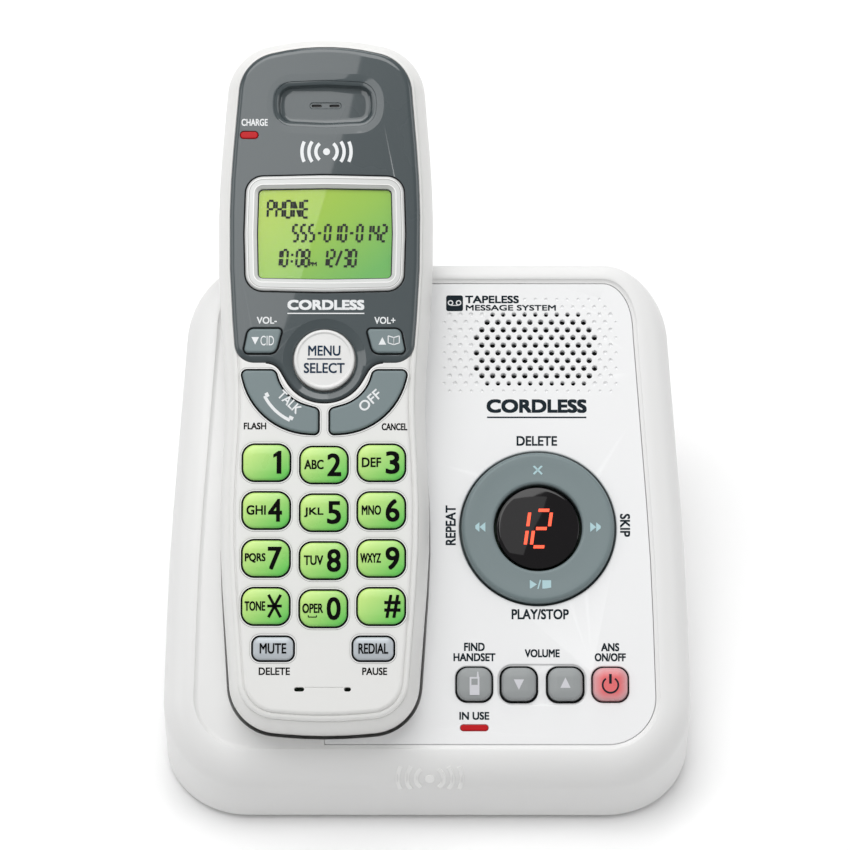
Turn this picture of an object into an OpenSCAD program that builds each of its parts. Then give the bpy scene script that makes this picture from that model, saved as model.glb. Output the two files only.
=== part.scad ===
// Cordless telephone lying in its answering-machine base.
// The base stands on the plane z = 0 with its middle at x = y = 0, and its front faces -Y.

/* [Base] */
// Width of the base at its front corners, before they are rounded
base_width = 120; // [118:0.5:124]
// Depth of the base, from its front wall to its back wall
base_depth = 109.7; // [109:0.1:112]
// Tilt of the control face from horizontal
face_tilt = 24; // [22:0.5:26]
// Height of the control face's plane 7.4 mm behind the front wall
face_front_height = 21.5; // [21:0.1:23]
// Round between the front wall and the control face
front_round = 8.8; // [8:0.2:10]
// Round between the side walls and the control face
side_round = 6.5; // [6:0.5:8]
// Round between the back wall and the control face
back_round = 3.2; // [3:0.1:4]

/* [Handset] */
// Tilt of the handset over that of the control face
handset_lean = 4; // [3:0.5:5]
// Depth that the handset's lower end sinks below the control face
handset_sink = 11.5; // [10.5:0.5:12]
// Position of the handset's middle line across the base
handset_x = -23; // [-24:0.1:-22.5]
// Thickness of the handset from its flat back to its front
handset_thick = 26; // [26:0.5:28]
// Thickness that the handset's head loses towards its top
head_slim = 5.5; // [3:0.5:6]

/* [Keys] */
// Pitch of the number keys across the handset
key_pitch_x = 12.8; // [12.6:0.1:13]
// Pitch of the number keys along the handset
key_pitch_l = 10.7; // [10.6:0.1:11]
// Travel of a handset key
key_travel = 0.9; // [0.6:0.1:0.9]
// Gap round each key in its hole
key_gap = 0.3; // [0.2:0.05:0.4]

/* [Hidden] */

eps = 0.01;
far = 200;
arc_step = 8;

// ---- Outlines: lists of [x, y, normal x, normal y], counterclockwise ----

function unit(v) = v / norm(v);
function turn(a, b) = a.x * b.y - a.y * b.x;
function spun(v, q) = [v.x * cos(q) - v.y * sin(q), v.x * sin(q) + v.y * cos(q)];
function outward(d) = [d.y, -d.x];
function places(outline) = [for (o = outline) [o[0], o[1]]];
function inset(outline, by) = [for (o = outline) [o[0] - o[2] * by, o[1] - o[3] * by]];
function flipped(corners) = [for (i = [len(corners) - 1 : -1 : 0])
    [-corners[i][0], corners[i][1], corners[i][2]]];

// A polygon whose corners are [x, y, radius], with each corner turned into an arc.
function rounded(corners, step = arc_step) = [
    for (i = [0 : len(corners) - 1])
        let (
            last = len(corners) - 1,
            p = [corners[i][0], corners[i][1]],
            a = [for (k = [0, 1]) corners[i == 0 ? last : i - 1][k]],
            b = [for (k = [0, 1]) corners[i == last ? 0 : i + 1][k]],
            d = unit(p - a),
            e = unit(b - p),
            side = sign(turn(d, e)),
            bend = acos(min(1, d * e)),
            r = corners[i][2],
            centre = p - d * r * tan(bend / 2) - outward(d) * r * side,
            n = 2 * floor(bend / step / 2) + 1
        )
        for (k = [0 : n])
            let (w = outward(spun(d, side * bend * k / n)))
                [centre.x + w.x * r * side, centre.y + w.y * r * side, w.x, w.y]
];

// Adds the outward normals to a closed list of points.
function with_normals(points) = [
    for (i = [0 : len(points) - 1])
        let (
            n = len(points),
            w = outward(unit(points[(i + 1) % n] - points[(i + n - 1) % n]))
        )
        [points[i].x, points[i].y, w.x, w.y]
];

function box_corners(w, h, r) = [[-w / 2, -h / 2, r], [w / 2, -h / 2, r], [w / 2, h / 2, r], [-w / 2, h / 2, r]];
function bowed_corners(w, h, bow, r) = [
    [0, -h / 2 - bow, 3 * h], [w / 2, -h / 2, r], [w / 2 + bow, 0, h], [w / 2, h / 2, r],
    [0, h / 2 + bow, 3 * h], [-w / 2, h / 2, r], [-w / 2 - bow, 0, h], [-w / 2, -h / 2, r]
];

// ---- Solids from rings of points ----

function ring_walls(n, rings) = [
    for (r = [0 : rings - 2])
        for (i = [0 : n - 1])
            let (j = (i + 1) % n)
                [r * n + i, (r + 1) * n + i, (r + 1) * n + j, r * n + j]
];

// A closed solid through rings of equal length, each list of 3-D points.
module skin(rings) {
    n = len(rings[0]);
    count = len(rings);
    polyhedron(
        points = [for (r = rings) for (p = r) p],
        faces = concat(
            [[for (i = [0 : n - 1]) i]],
            [[for (i = [n - 1 : -1 : 0]) (count - 1) * n + i]],
            ring_walls(n, count)
        )
    );
}

module plate(outline, low, high) {
    translate([0, 0, low])
        linear_extrude(high - low)
            polygon(places(outline));
}

module plate_inset(outline, by, low, high) {
    translate([0, 0, low])
        linear_extrude(high - low)
            polygon(inset(outline, by));
}

// ---- Frame of the base and of its control face ----

front_y = -base_depth / 2;
base_floor = 1;
cover_low = 1.2;
cover_high = 3.4;
wall = 2.4;
face_normal = [0, -sin(face_tilt), cos(face_tilt)];
face_y = front_y + 7.4;

wall_outline = rounded([
    [base_width / 2, front_y, 19],
    [base_width / 2 - 1.3, front_y + 48, 500],
    [base_width / 2 - 6, front_y + base_depth, 15],
    [-base_width / 2 + 6, front_y + base_depth, 15],
    [-base_width / 2 + 1.3, front_y + 48, 500],
    [-base_width / 2, front_y, 19]
]);

function rim_round(wy) = side_round + wy * wy * ((wy < 0 ? front_round : back_round) - side_round);
function face_height(y) = face_front_height + (y - face_y) * tan(face_tilt);

// A point of the base's rounded rim: share 0 is on the wall, 1 is on the control face.
function rim_point(o, in, drop, share) =
    let (
        r = max(rim_round(o[3]) - in, 1),
        c = [o[0] - o[2] * (in + r), o[1] - o[3] * (in + r)],
        w = [o[2], o[3], 0],
        gap = acos(w * face_normal),
        v = (sin((1 - share) * gap) * w + sin(share * gap) * face_normal) / sin(gap)
    )
    [c.x, c.y, face_height(c.y) - (drop + r) / cos(face_tilt)] + r * v;

// The base's outer form, or one inside it by in at the walls and by drop at the face.
module pillow(in, drop, low, rim_steps) {
    skin(concat(
        [[for (o = wall_outline) [o[0] - o[2] * (in + 0.8), o[1] - o[3] * (in + 0.8), low]]],
        [[for (o = wall_outline) [o[0] - o[2] * in, o[1] - o[3] * in, low + 0.8]]],
        [for (k = [0 : rim_steps]) [for (o = wall_outline) rim_point(o, in, drop, k / rim_steps)]]
    ));
}

// In this frame x runs across, y up the slope from the front crease, and z out of the face.
module on_face() {
    translate([0, face_y, face_front_height])
        rotate([face_tilt, 0, 0])
            children();
}

crease_outline = with_normals([
    for (o = wall_outline)
        let (p = rim_point(o, 0, 0, 1))
            [p.x, (p.y - face_y) / cos(face_tilt)]
]);

crease_band = 1.5;
face_drop = 0.6;
faceplate_thick = 2.2;
ledge_thick = 1.4;
ledge_width = 2.1;
plate_top = -face_drop;
plate_low = plate_top - faceplate_thick;
skin_drop = -plate_low + ledge_thick;

// ---- Frame and outline of the handset ----

handset_s = 1.7;
seam_inset = 2.3;
seam_t = handset_thick - 3;
widest_t = 12;
back_inset = 8.5;
slim_from = 88;
handset_length = 158.1;

// In this frame x runs across the handset, y along it from its lower end, and z from its back to its front.
module on_handset() {
    on_face()
        translate([handset_x, handset_s, -handset_sink])
            rotate([handset_lean, 0, 0])
                children();
}

handset_right = [
    [20.6, 1.6, 11], [23.95, 46, 200], [22.25, 75, 120],
    [24.45, 104, 250], [24.2, 124, 200], [21.7, 154.4, 12]
];
handset_outline = rounded(concat([[0, -0.3, 100]], handset_right, [[0, 159.5, 57]], flipped(handset_right)));
handset_first = 2 * floor(10.4 / arc_step / 2) + 1;

function lift(l) = head_slim * pow(max(0, (l - slim_from) / (handset_length - slim_from)), 1.6);
function lifted(p) = [p.x, p.y, p.z + lift(p.y) * (1 - p.z / seam_t)];

// Faces that close a ring whose two sides mirror each other, as level strips.
function strips(n, first) = [
    for (i = [(first + 1) / 2 : (n + first - 1) / 2 - 1])
        [i, i + 1, (first - i - 1 + n) % n, (first - i + n) % n]
];

// A solid through rings of [inset, t], whose back follows the slimmer head.
module handset_skin(rings) {
    n = len(handset_outline);
    count = len(rings);
    polyhedron(
        points = [for (r = rings) for (o = handset_outline)
            lifted([o[0] - o[2] * r[0], o[1] - o[3] * r[0], r[1]])],
        faces = concat(
            strips(n, handset_first),
            [for (f = strips(n, handset_first)) [for (k = [3 : -1 : 0]) (count - 1) * n + f[k]]],
            ring_walls(n, count)
        )
    );
}

// Quarter round of the handset's back, from its flat back to its widest level.
function back_rings(grow, drop) = [
    for (q = [0 : 15 : 90])
        [back_inset * (1 - sin(q)) - grow, widest_t * (1 - cos(q)) - drop]
];
// Side of the handset, from its widest level in to the seam.
function side_rings(in, top) = [
    for (q = [15 : 15 : 60])
        [in + seam_inset * (1 - cos(q)) / (1 - cos(60)), widest_t + 2 + (top - widest_t - 2) * sin(q) / sin(60)]
];

// ---- Base ----

pocket_grow = 0.75;
bed_gap = 0.3;
bed_wall = 2;
boss_places = [[-51.4, front_y + 11.2], [51.4, front_y + 11.2], [-46, -front_y - 10.6], [46, -front_y - 10.6]];
boss_height = 12;
foot_places = [[0, 0], [-44, front_y + 14], [44, front_y + 14], [-38, -front_y - 16], [38, -front_y - 16]];
speaker_x = 24.7;
speaker_s = 90.2;
jack_z = 14;
line_jack_x = 18;
power_x = 37;
contact_x = 9;
contact_l = 15;

// Space that the handset needs in the base, open upwards.
module bed_space(grow, drop) {
    on_handset()
        skin([
            for (r = concat(back_rings(grow, drop), [[-grow, 32]]))
                [for (o = handset_outline) [o[0] - o[2] * r[0], o[1] - o[3] * r[0], r[1]]]
        ]);
}

// Part of the control face to the right of the handset's middle line, less a gap.
module right_of_handset(gap) {
    intersection() {
        children();
        translate([handset_x + gap, -20, -20]) cube([120, 150, 40]);
    }
}

// Shallow recess over the whole control face, with a deeper seat for the faceplate.
module face_pocket() {
    on_face() {
        skin([
            for (r = [[crease_band, plate_top], [-1, 0.5]])
                [for (o = crease_outline) [o[0] - o[2] * r[0], o[1] - o[3] * r[0], r[1]]]
        ]);
        right_of_handset(0) plate_inset(crease_outline, crease_band, plate_low, plate_top + eps);
        right_of_handset(ledge_width) plate_inset(crease_outline, crease_band + ledge_width, -8, plate_low + eps);
    }
}

module base_housing() {
    color([0.93, 0.93, 0.92])
        difference() {
            union() {
                difference() {
                    pillow(0, 0, base_floor, 6);
                    pillow(wall, skin_drop, -2, 4);
                }
                intersection() {
                    pillow(0, 0, base_floor, 6);
                    bed_space(pocket_grow + bed_wall, bed_gap + bed_wall);
                }
                for (p = boss_places)
                    translate([p.x, p.y, cover_high + 0.1]) {
                        cylinder(r = 3, h = boss_height, $fn = 32);
                        // Rib that ties the boss to its corner of the walls.
                        rotate(atan2(sign(p.y), sign(p.x)))
                            translate([0, -1, 0]) cube([5.2, 2, boss_height]);
                    }
            }
            face_pocket();
            bed_space(pocket_grow, bed_gap);
            for (p = boss_places)
                translate([p.x, p.y, 0])
                    cylinder(r = 1.15, h = 13, $fn = 24);
            translate([line_jack_x - 6.6, 40, jack_z - 6.1]) cube([13.2, 20, 12.2]);
            translate([power_x, 40, jack_z]) rotate([-90, 0, 0]) cylinder(r = 5.2, h = 20, $fn = 48);
            for (x = [-contact_x, contact_x])
                on_handset() translate([x - 1.8, contact_l - 3, -6]) cube([3.6, 6, 8]);
        }
}

hole_pitch = 2.45;
row_pitch = 1.79;
grille_rows = [9, 10, 11, 12, 11, 12, 11, 12, 11, 10];
grille_top_s = 98.2;
dimple_depth = 0.35;

// A blind dimple, out by k pitches from the grille's middle line and down by row pitches from its top row.
module dimple(k, row, r) {
    translate([speaker_x + k * hole_pitch, grille_top_s - row * row_pitch, plate_top - dimple_depth])
        cylinder(r = r, h = 1, $fn = 16);
}

// Speaker holes in staggered rows, with blind dimples round them.
module grille() {
    for (row = [0 : len(grille_rows) - 1]) {
        last = (grille_rows[row] - 1) / 2;
        small = row == 0 || row == len(grille_rows) - 1;
        for (k = [-last : last])
            translate([speaker_x + k * hole_pitch, grille_top_s - row * row_pitch, plate_low - 1])
                cylinder(r = small ? 0.5 : 0.6, h = faceplate_thick + 2, $fn = 16);
        for (k = [last + 1 : 8.5])
            dimple(-k, row, k > 8.2 ? 0.32 : 0.48);
        for (k = [last + 1 : 7.5])
            dimple(k, row, k > 7.2 ? 0.32 : 0.48);
    }
    for (k = [-8 : 7])
        dimple(k, len(grille_rows), 0.32);
    for (k = [2.5 : 6.5])
        dimple(k, -1, 0.38);
    for (k = [-1 : 6])
        dimple(k, -2, 0.32);
}

ring_x = 25.05;
ring_s = 48.5;
ring_hole = 17.8;
ring_outer = 17.3;
ring_inner = 10;
base_keys_s = 12.8;
find_x = 10.6;
down_x = 20.6;
up_x = 31.05;
answer_x = 41.15;
in_use_s = 3;
base_key_hole = rounded(box_corners(8.5, 8.2, 2.6), 15);
base_key_cap = rounded(box_corners(7.7, 7.4, 2.4), 15);
light_hole = rounded(box_corners(6.4, 1.5, 0.74), 20);
light_cap = rounded(box_corners(6.2, 1.3, 0.64), 20);

module base_faceplate() {
    color([0.95, 0.95, 0.94])
        difference() {
            on_face()
                right_of_handset(0.1) plate_inset(crease_outline, crease_band + 0.1, plate_low, plate_top);
            bed_space(pocket_grow, bed_gap);
            on_face() {
                translate([ring_x, ring_s, plate_low - 1]) cylinder(r = ring_hole, h = 6, $fn = 96);
                for (x = [find_x, down_x, up_x, answer_x])
                    translate([x, base_keys_s, 0]) plate(base_key_hole, plate_low - 1, 1);
                translate([(down_x + up_x) / 2, base_keys_s, 0])
                    plate(rounded(box_corners(20, 9, 3.2), 15), plate_top - 0.4, 1);
                translate([find_x, in_use_s, 0]) plate(light_hole, plate_low - 1, 1);
                grille();
            }
        }
}

module base_bottom_cover() {
    color([0.88, 0.88, 0.87])
        difference() {
            plate_inset(wall_outline, wall + 0.25, cover_low, cover_high);
            for (p = boss_places) {
                translate([p.x, p.y, 0]) cylinder(r = 1.4, h = 9, $fn = 24);
                translate([p.x, p.y, 0]) cylinder(r = 2.7, h = cover_low + 1.1, $fn = 32);
            }
            for (p = foot_places)
                translate([p.x, p.y, 0]) cylinder(r = 5.1, h = cover_low + 0.5, $fn = 48);
            for (k = [-4 : 4])
                translate([24 + k * 3.2, 6, 0]) plate(rounded(box_corners(1.4, 18, 0.68), 30), 0, 9);
            translate([-26, 0, 0]) plate(rounded(box_corners(34, 26, 2), 15), 0, cover_low + 0.3);
        }
}

module rubber_feet() {
    color([0.25, 0.25, 0.26])
        for (p = foot_places)
            translate([p.x, p.y, 0]) cylinder(r = 5, h = cover_low + 0.45, $fn = 48);
}

module base_screws() {
    color([0.7, 0.7, 0.72])
        for (p = boss_places)
            translate([p.x, p.y, 0])
                difference() {
                    union() {
                        translate([0, 0, cover_low + 0.15]) cylinder(r = 2.4, h = 0.9, $fn = 32);
                        translate([0, 0, cover_low + 1]) cylinder(r = 1.05, h = 10, $fn = 24);
                    }
                    for (q = [0, 90])
                        rotate(q) translate([-1.4, -0.25, 0]) cube([2.8, 0.5, cover_low + 0.6]);
                }
}

board_top = -8.4;
mat_top = board_top + 0.9;

module base_circuit_board() {
    color([0.1, 0.4, 0.2])
        on_face()
            difference() {
                translate([6, 6.5, board_top - 1.6]) cube([43.5, 70, 1.6]);
                for (s = [11, 72])
                    translate([9.5, s, board_top - 2]) cylinder(r = 1.5, h = 3, $fn = 24);
            }
}

module base_key_mat() {
    color([0.8, 0.8, 0.78])
        on_face() {
            difference() {
                union() {
                    translate([6.5, 9.4, board_top]) cube([42, 12, mat_top - board_top]);
                    translate([ring_x, ring_s, board_top]) cylinder(r = 17.5, h = mat_top - board_top, $fn = 64);
                }
                translate([ring_x, ring_s, board_top - 1]) cylinder(r = 10.4, h = 4, $fn = 48);
            }
            // Two posts that carry the rocker on the ring's cross axis.
            for (side = [-1, 1])
                translate([ring_x + side * 13.5, ring_s, mat_top])
                    cylinder(r = 0.8, h = 0.45, $fn = 24);
        }
}

module base_speaker() {
    color([0.2, 0.2, 0.2])
        on_face()
            translate([speaker_x, speaker_s, 0]) {
                difference() {
                    translate([0, 0, -7]) cylinder(r = 12.4, h = 3.8, $fn = 64);
                    translate([0, 0, -6]) cylinder(r1 = 5, r2 = 11.2, h = 3, $fn = 64);
                }
                translate([0, 0, -12.5]) cylinder(r = 7, h = 5.5, $fn = 48);
            }
}

module speaker_felt() {
    color([0.06, 0.06, 0.06])
        on_face()
            translate([speaker_x, speaker_s, 0])
                plate(rounded(box_corners(31, 18.6, 4), 15), plate_low - 0.3, plate_low - 0.05);
}

module message_window() {
    color([0.08, 0.05, 0.06])
        on_face()
            translate([ring_x, ring_s, 0]) {
                translate([0, 0, -2.2]) cylinder(r = 9.4, h = 2.2, $fn = 72);
                translate([0, 0, 0]) cylinder(r1 = 9.4, r2 = 8.9, h = 0.25, $fn = 72);
            }
}

module led_display() {
    color([0.6, 0.1, 0.08])
        on_face()
            translate([ring_x, ring_s, 0]) {
                translate([-6.5, -6.2, board_top + 0.05]) cube([13, 12.4, -2.3 - board_top]);
            }
}

module in_use_light() {
    color([0.85, 0.08, 0.1])
        on_face()
            translate([find_x, in_use_s, 0]) {
                plate(light_cap, plate_low - 0.3, plate_top + 0.2);
                plate(rounded(box_corners(7.6, 2.2, 0.5), 20), plate_low - 1.3, plate_low - 0.1);
                translate([-2, 1.6 - 0.8, board_top + 0.05]) cube([4, 1.4, plate_low - 1.2 - board_top]);
            }
}

module line_jack() {
    color([0.15, 0.15, 0.16])
        translate([line_jack_x, base_depth / 2 - 14.5, jack_z])
            difference() {
                translate([-6.5, 0, -6]) cube([13, 14.2, 12]);
                translate([-5, 2, -3.6]) cube([10, 13, 7.2]);
                translate([-1.6, 4, -5]) cube([3.2, 11, 3]);
            }
}

module power_inlet() {
    color([0.12, 0.12, 0.13])
        translate([power_x, base_depth / 2 - 12, jack_z])
            rotate([-90, 0, 0]) {
                difference() {
                    union() {
                        cylinder(r = 5.1, h = 11.8, $fn = 48);
                        translate([-5.5, -5.5, 0]) cube([11, 11, 8.5]);
                    }
                    translate([0, 0, 2]) cylinder(r = 3.1, h = 11, $fn = 48);
                }
                translate([0, 0, 1.5]) cylinder(r = 1, h = 9.5, $fn = 32);
            }
}

module base_antenna() {
    color([0.8, 0.65, 0.3])
        on_face() {
            translate([8, 70, board_top + 0.05]) cube([2.4, 0.6, 4]);
            translate([8, 70, board_top + 3.45]) cube([26, 0.6, 0.6]);
        }
}

// Sprung nose under the handset's charge strip.
module charge_contact(x) {
    color([0.85, 0.75, 0.45])
        on_handset()
            translate([x, contact_l, 0]) {
                translate([-1.2, 0, -1.7]) rotate([0, 90, 0]) cylinder(r = 1.6, h = 2.4, $fn = 32);
                translate([-1.2, -0.3, -5.7]) cube([2.4, 0.6, 3]);
                translate([-1.5, -2.2, -6.2]) cube([3, 4.4, 0.6]);
            }
}

ring_top = 1.1;

module nav_ring() {
    color([0.46, 0.54, 0.55])
        on_face()
            translate([ring_x, ring_s, 0])
                rotate_extrude($fn = 96)
                    polygon([
                        [ring_inner, -4.5], [ring_outer + 1.3, -4.5], [ring_outer + 1.3, -3.6],
                        [ring_outer, -3.6], [ring_outer, ring_top - 0.7], [ring_outer - 0.3, ring_top - 0.2],
                        [ring_outer - 1, ring_top], [ring_inner + 0.5, ring_top - 0.15], [ring_inner, ring_top - 0.6]
                    ]);
}

// Rubber rocker between the ring and the key mat: it tips on the cross axis, and the ring tips on it on the other.
module nav_ring_rocker() {
    color([0.75, 0.75, 0.73])
        on_face()
            translate([ring_x, ring_s, 0]) {
                difference() {
                    translate([0, 0, -6.9]) cylinder(r = 15, h = 1.75, $fn = 64);
                    translate([0, 0, -8]) cylinder(r = 11.6, h = 4, $fn = 64);
                }
                for (side = [-1, 1])
                    translate([0, side * 13.3, -5.2]) cylinder(r = 0.8, h = 0.62, $fn = 24);
            }
}

module base_key(x, tint) {
    color(tint)
        on_face()
            translate([x, base_keys_s, 0]) {
                plate(base_key_cap, plate_low - 1, 0.55);
                plate_inset(base_key_cap, 0.5, 0.54, 0.9);
                plate_inset(base_key_hole, -0.7, plate_low - 1.2, plate_low - 0.2);
                translate([0, 0, -6.3]) cylinder(r = 1.8, h = 6.2 + plate_low, $fn = 32);
            }
}

// ---- Handset ----

front_low = seam_t + 0.1;
face_t = handset_thick;
face_skin_t = handset_thick - 1.8;
bezel_low = face_t - 1.1;
flange_low = face_skin_t - 1.2;
mat_t = flange_low - key_travel - 0.1;
pcb_t = mat_t - 0.9;

key_row_l = 60;
menu_l = 83.1;
lcd_l = 111.8;
earpiece_l = 141.5;
charge_x = -17.1;
charge_l = 134.3;
soft_x = 11.1;
soft_l = 18.5;

number_hole = rounded(box_corners(10.9, 8.5, 2.9), 15);
soft_hole = rounded(box_corners(9.5, 5.7, 1.9), 15);
talk_corners = [
    [-18.9, 81, 1.3], [-15.4, 66.8, 16], [-1.05, 66.2, 1.2],
    [-1.05, 72.2, 1.4], [-9.1, 74.5, 9], [-10.8, 81, 1.6]
];
volume_corners = [[-18.4, 84.4, 1.2], [-10.7, 84.4, 2], [-9.1, 90.4, 1], [-17.2, 90.4, 1.8]];
talk_hole = rounded(talk_corners, 10);
off_hole = rounded(flipped(talk_corners), 10);
volume_down_hole = rounded(volume_corners, 15);
volume_up_hole = rounded(flipped(volume_corners), 15);
lcd_frame_outline = rounded(bowed_corners(35.4, 26, 0.4, 4), 12);
lcd_window_outline = rounded(bowed_corners(30, 20.4, 0.25, 1.2), 20);
ear_dish = rounded(bowed_corners(21, 8.8, 0.5, 3.4), 15);

bezel_right = [
    [5.6, 73.6, 9.6], [10.8, 82.6, 4], [19.8, 82.6, 4.5], [21.5, 104, 250],
    [21.2, 124, 200], [18.9, 151.5, 9.5]
];
bezel_outline = rounded(concat(bezel_right, [[0, 156.1, 50]], flipped(bezel_right)), 10);

// A number key's place: column 0 to 2 from the left, row 0 to 3 from the top.
function key_x(column) = (column - 1) * key_pitch_x;
function key_l(column, row) = key_row_l - row * key_pitch_l - (column == 1 ? 0.5 : 0);

// Cuts every opening for a key through the front of the handset.
module key_holes() {
    for (column = [0 : 2], row = [0 : 3])
        translate([key_x(column), key_l(column, row), 0]) plate(number_hole, 0, far);
    for (side = [-1, 1])
        translate([side * soft_x, soft_l, 0]) plate(soft_hole, 0, far);
    plate(talk_hole, 0, far);
    plate(off_hole, 0, far);
    bezel_key_holes();
}

module bezel_key_holes() {
    plate(volume_down_hole, 0, far);
    plate(volume_up_hole, 0, far);
    translate([0, menu_l, 0]) cylinder(r = 7.1, h = far, $fn = 64);
    translate([charge_x, charge_l, 0]) plate(rounded(box_corners(4.2, 1.8, 0.88), 20), 0, far);
}

screw_x = 15.5;
screw_l = 128.5;
side_wall_in = 3.5;

// Lip that locates the front shell in the rear shell, at both ends of the handset.
module locating_lip() {
    difference() {
        union() {
            plate_inset(handset_outline, 3.7, seam_t - 1.6, front_low + eps);
            plate_inset(handset_outline, side_wall_in - 0.1, front_low, face_skin_t + eps);
        }
        plate_inset(handset_outline, 4.8, 0, far);
        translate([-30, 13, 0]) cube([60, 127, far]);
    }
}

module screw_posts() {
    for (side = [-1, 1])
        translate([side * screw_x, screw_l, 8])
            difference() {
                cylinder(r = 2.5, h = face_skin_t - 8 + eps, $fn = 32);
                translate([0, 0, -1]) cylinder(r = 1.05, h = 12, $fn = 24);
            }
}

module handset_front_shell() {
    color([0.93, 0.93, 0.91])
        on_handset() {
            difference() {
                skin([
                    for (r = [[2.45, front_low], [2.45, face_t - 1.2], [2.7, face_t - 0.6], [3.2, face_t - 0.2], [4.2, face_t]])
                        [for (o = handset_outline) [o[0] - o[2] * r[0], o[1] - o[3] * r[0], r[1]]]
                ]);
                plate_inset(handset_outline, side_wall_in, 0, face_skin_t);
                plate_inset(bezel_outline, -0.1, bezel_low, far);
                key_holes();
                translate([0, lcd_l, 0]) plate_inset(lcd_window_outline, -0.6, 0, far);
                translate([0, earpiece_l, 0]) plate_inset(ear_dish, -1, 0, far);
                for (x = [-5.3, 5.4])
                    translate([x, 9.5, 0]) plate(rounded(box_corners(x < 0 ? 2.2 : 1.5, 0.95, 0.46), 20), 0, far);
                translate([-4.1, 9.75, face_t - 0.25]) cube([8.6, 0.35, 1]);
            }
            locating_lip();
            screw_posts();
        }
}

door_half = 13.8;
door_low_l = 26;
door_high_l = 84;
door_thick = 1.5;
rebate = 1.6;
door_travel = 5;
bay_half = 12;
bay_low_l = 28;
bay_high_l = 78;

module handset_rear_shell() {
    color([0.9, 0.9, 0.88])
        on_handset()
            difference() {
                union() {
                    difference() {
                        handset_skin(concat(back_rings(0, 0), [[0, widest_t + 2]], side_rings(0, seam_t)));
                        handset_skin([
                            for (r = [[10.3, 1.8], [7.2, 2.6], [4.3, 4.6], [2.4, 8], [1.9, 12], [1.9, 14.5], [2.8, 19], [3.4, 22.3], [3.4, 24]])
                                r
                        ]);
                    }
                    translate([-15.2, 10, 0.9]) cube([30.4, 77, 2.4]);
                    translate([-bay_half - 1.2, bay_low_l - 1.2, 2]) cube([2 * bay_half + 2.4, bay_high_l - bay_low_l + 2.4, 12]);
                    for (side = [-1, 1])
                        translate([side * screw_x, screw_l, 4]) cylinder(r = 3.6, h = 3.9, $fn = 32);
                }
                translate([-door_half - 0.2, door_low_l - door_travel - 0.2, -1])
                    cube([2 * door_half + 0.4, door_high_l - door_low_l + door_travel + 0.4, rebate + 1]);
                translate([-bay_half, bay_low_l, 0]) cube([2 * bay_half, bay_high_l - bay_low_l, 12.8]);
                for (side = [-1, 1])
                    translate([side * screw_x, screw_l, -1]) {
                        cylinder(r = 1.3, h = 12, $fn = 24);
                        cylinder(r = 2.7, h = 7.6, $fn = 32);
                    }
                for (side = [-1, 1])
                    translate([side * contact_x, contact_l, 0]) {
                        translate([-1.1, 1, 0]) cube([2.2, 1.2, 6]);
                        translate([-2.1, -3.6, -1]) cube([4.2, 7.2, 1.65]);
                    }
            }
}

module handset_bezel() {
    color([0.36, 0.39, 0.41])
        on_handset()
            difference() {
                union() {
                    plate(bezel_outline, bezel_low + 0.05, face_t - 0.35);
                    plate_inset(bezel_outline, 0.5, face_t - 0.36, face_t + 0.1);
                    translate([0, earpiece_l, 0]) plate_inset(ear_dish, -0.8, face_t - 3, face_t - 0.5);
                }
                bezel_key_holes();
                translate([0, lcd_l, 0]) plate_inset(lcd_frame_outline, -0.1, 0, far);
                translate([0, earpiece_l, 0]) plate(ear_dish, face_t - 2.2, far);
                for (side = [-1, 1])
                    translate([side * 2, earpiece_l, 0]) plate(rounded(box_corners(2.3, 0.65, 0.31), 20), 0, far);
            }
}

module lcd_frame() {
    color([0.78, 0.79, 0.78])
        on_handset()
            translate([0, lcd_l, 0])
                difference() {
                    union() {
                        plate(lcd_frame_outline, bezel_low + 0.05, face_t + 0.3);
                        plate_inset(lcd_frame_outline, 0.5, face_t + 0.29, face_t + 0.7);
                    }
                    plate(lcd_window_outline, 0, far);
                }
}

module lcd_window() {
    color([0.8, 0.9, 0.8, 0.35])
        on_handset()
            translate([0, lcd_l, 0])
                plate_inset(lcd_window_outline, 0.05, face_t - 0.6, face_t + 0.2);
}

module lcd_module() {
    color([0.55, 0.75, 0.35])
        on_handset()
            translate([0, lcd_l, 0]) {
                translate([-16.4, -11.6, pcb_t + 0.05]) cube([32.8, 23.2, face_skin_t - pcb_t - 0.15]);
                plate_inset(lcd_window_outline, 0.1, face_skin_t - 0.2, face_t - 0.7);
            }
}

module handset_circuit_board() {
    color([0.1, 0.4, 0.2])
        on_handset()
            difference() {
                union() {
                    translate([0, 0, pcb_t - 1.6]) linear_extrude(1.6)
                        intersection() {
                            polygon(inset(handset_outline, 6.4));
                            translate([-16.6, 0]) square([33.2, 125]);
                        }
                    translate([-11, 120, pcb_t - 1.6]) cube([22, 31, 1.6]);
                }
                for (side = [-1, 1])
                    translate([side * 12, 96.6, pcb_t - 2]) cylinder(r = 1.2, h = 3, $fn = 24);
            }
}

module handset_key_mat() {
    color([0.8, 0.85, 0.75])
        on_handset()
            plate(rounded([[-15, 13, 3], [15, 13, 3], [15.5, 60, 200], [15.5, 92.5, 3], [-15.5, 92.5, 3], [-15.5, 60, 200]]), pcb_t + 0.02, mat_t);
}

module earpiece_speaker() {
    color([0.25, 0.25, 0.26])
        on_handset()
            translate([0, earpiece_l, 0]) {
                translate([0, 0, pcb_t + 0.05]) cylinder(r = 6.6, h = 1, $fn = 48);
                translate([0, 0, pcb_t + 1]) cylinder(r = 5.2, h = face_t - 3.1 - pcb_t - 1, $fn = 48);
            }
}

module microphone() {
    color([0.6, 0.6, 0.62])
        on_handset()
            translate([-1.5, 10, pcb_t + 0.05]) cylinder(r = 2.6, h = face_skin_t - pcb_t - 0.2, $fn = 40);
}

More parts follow.
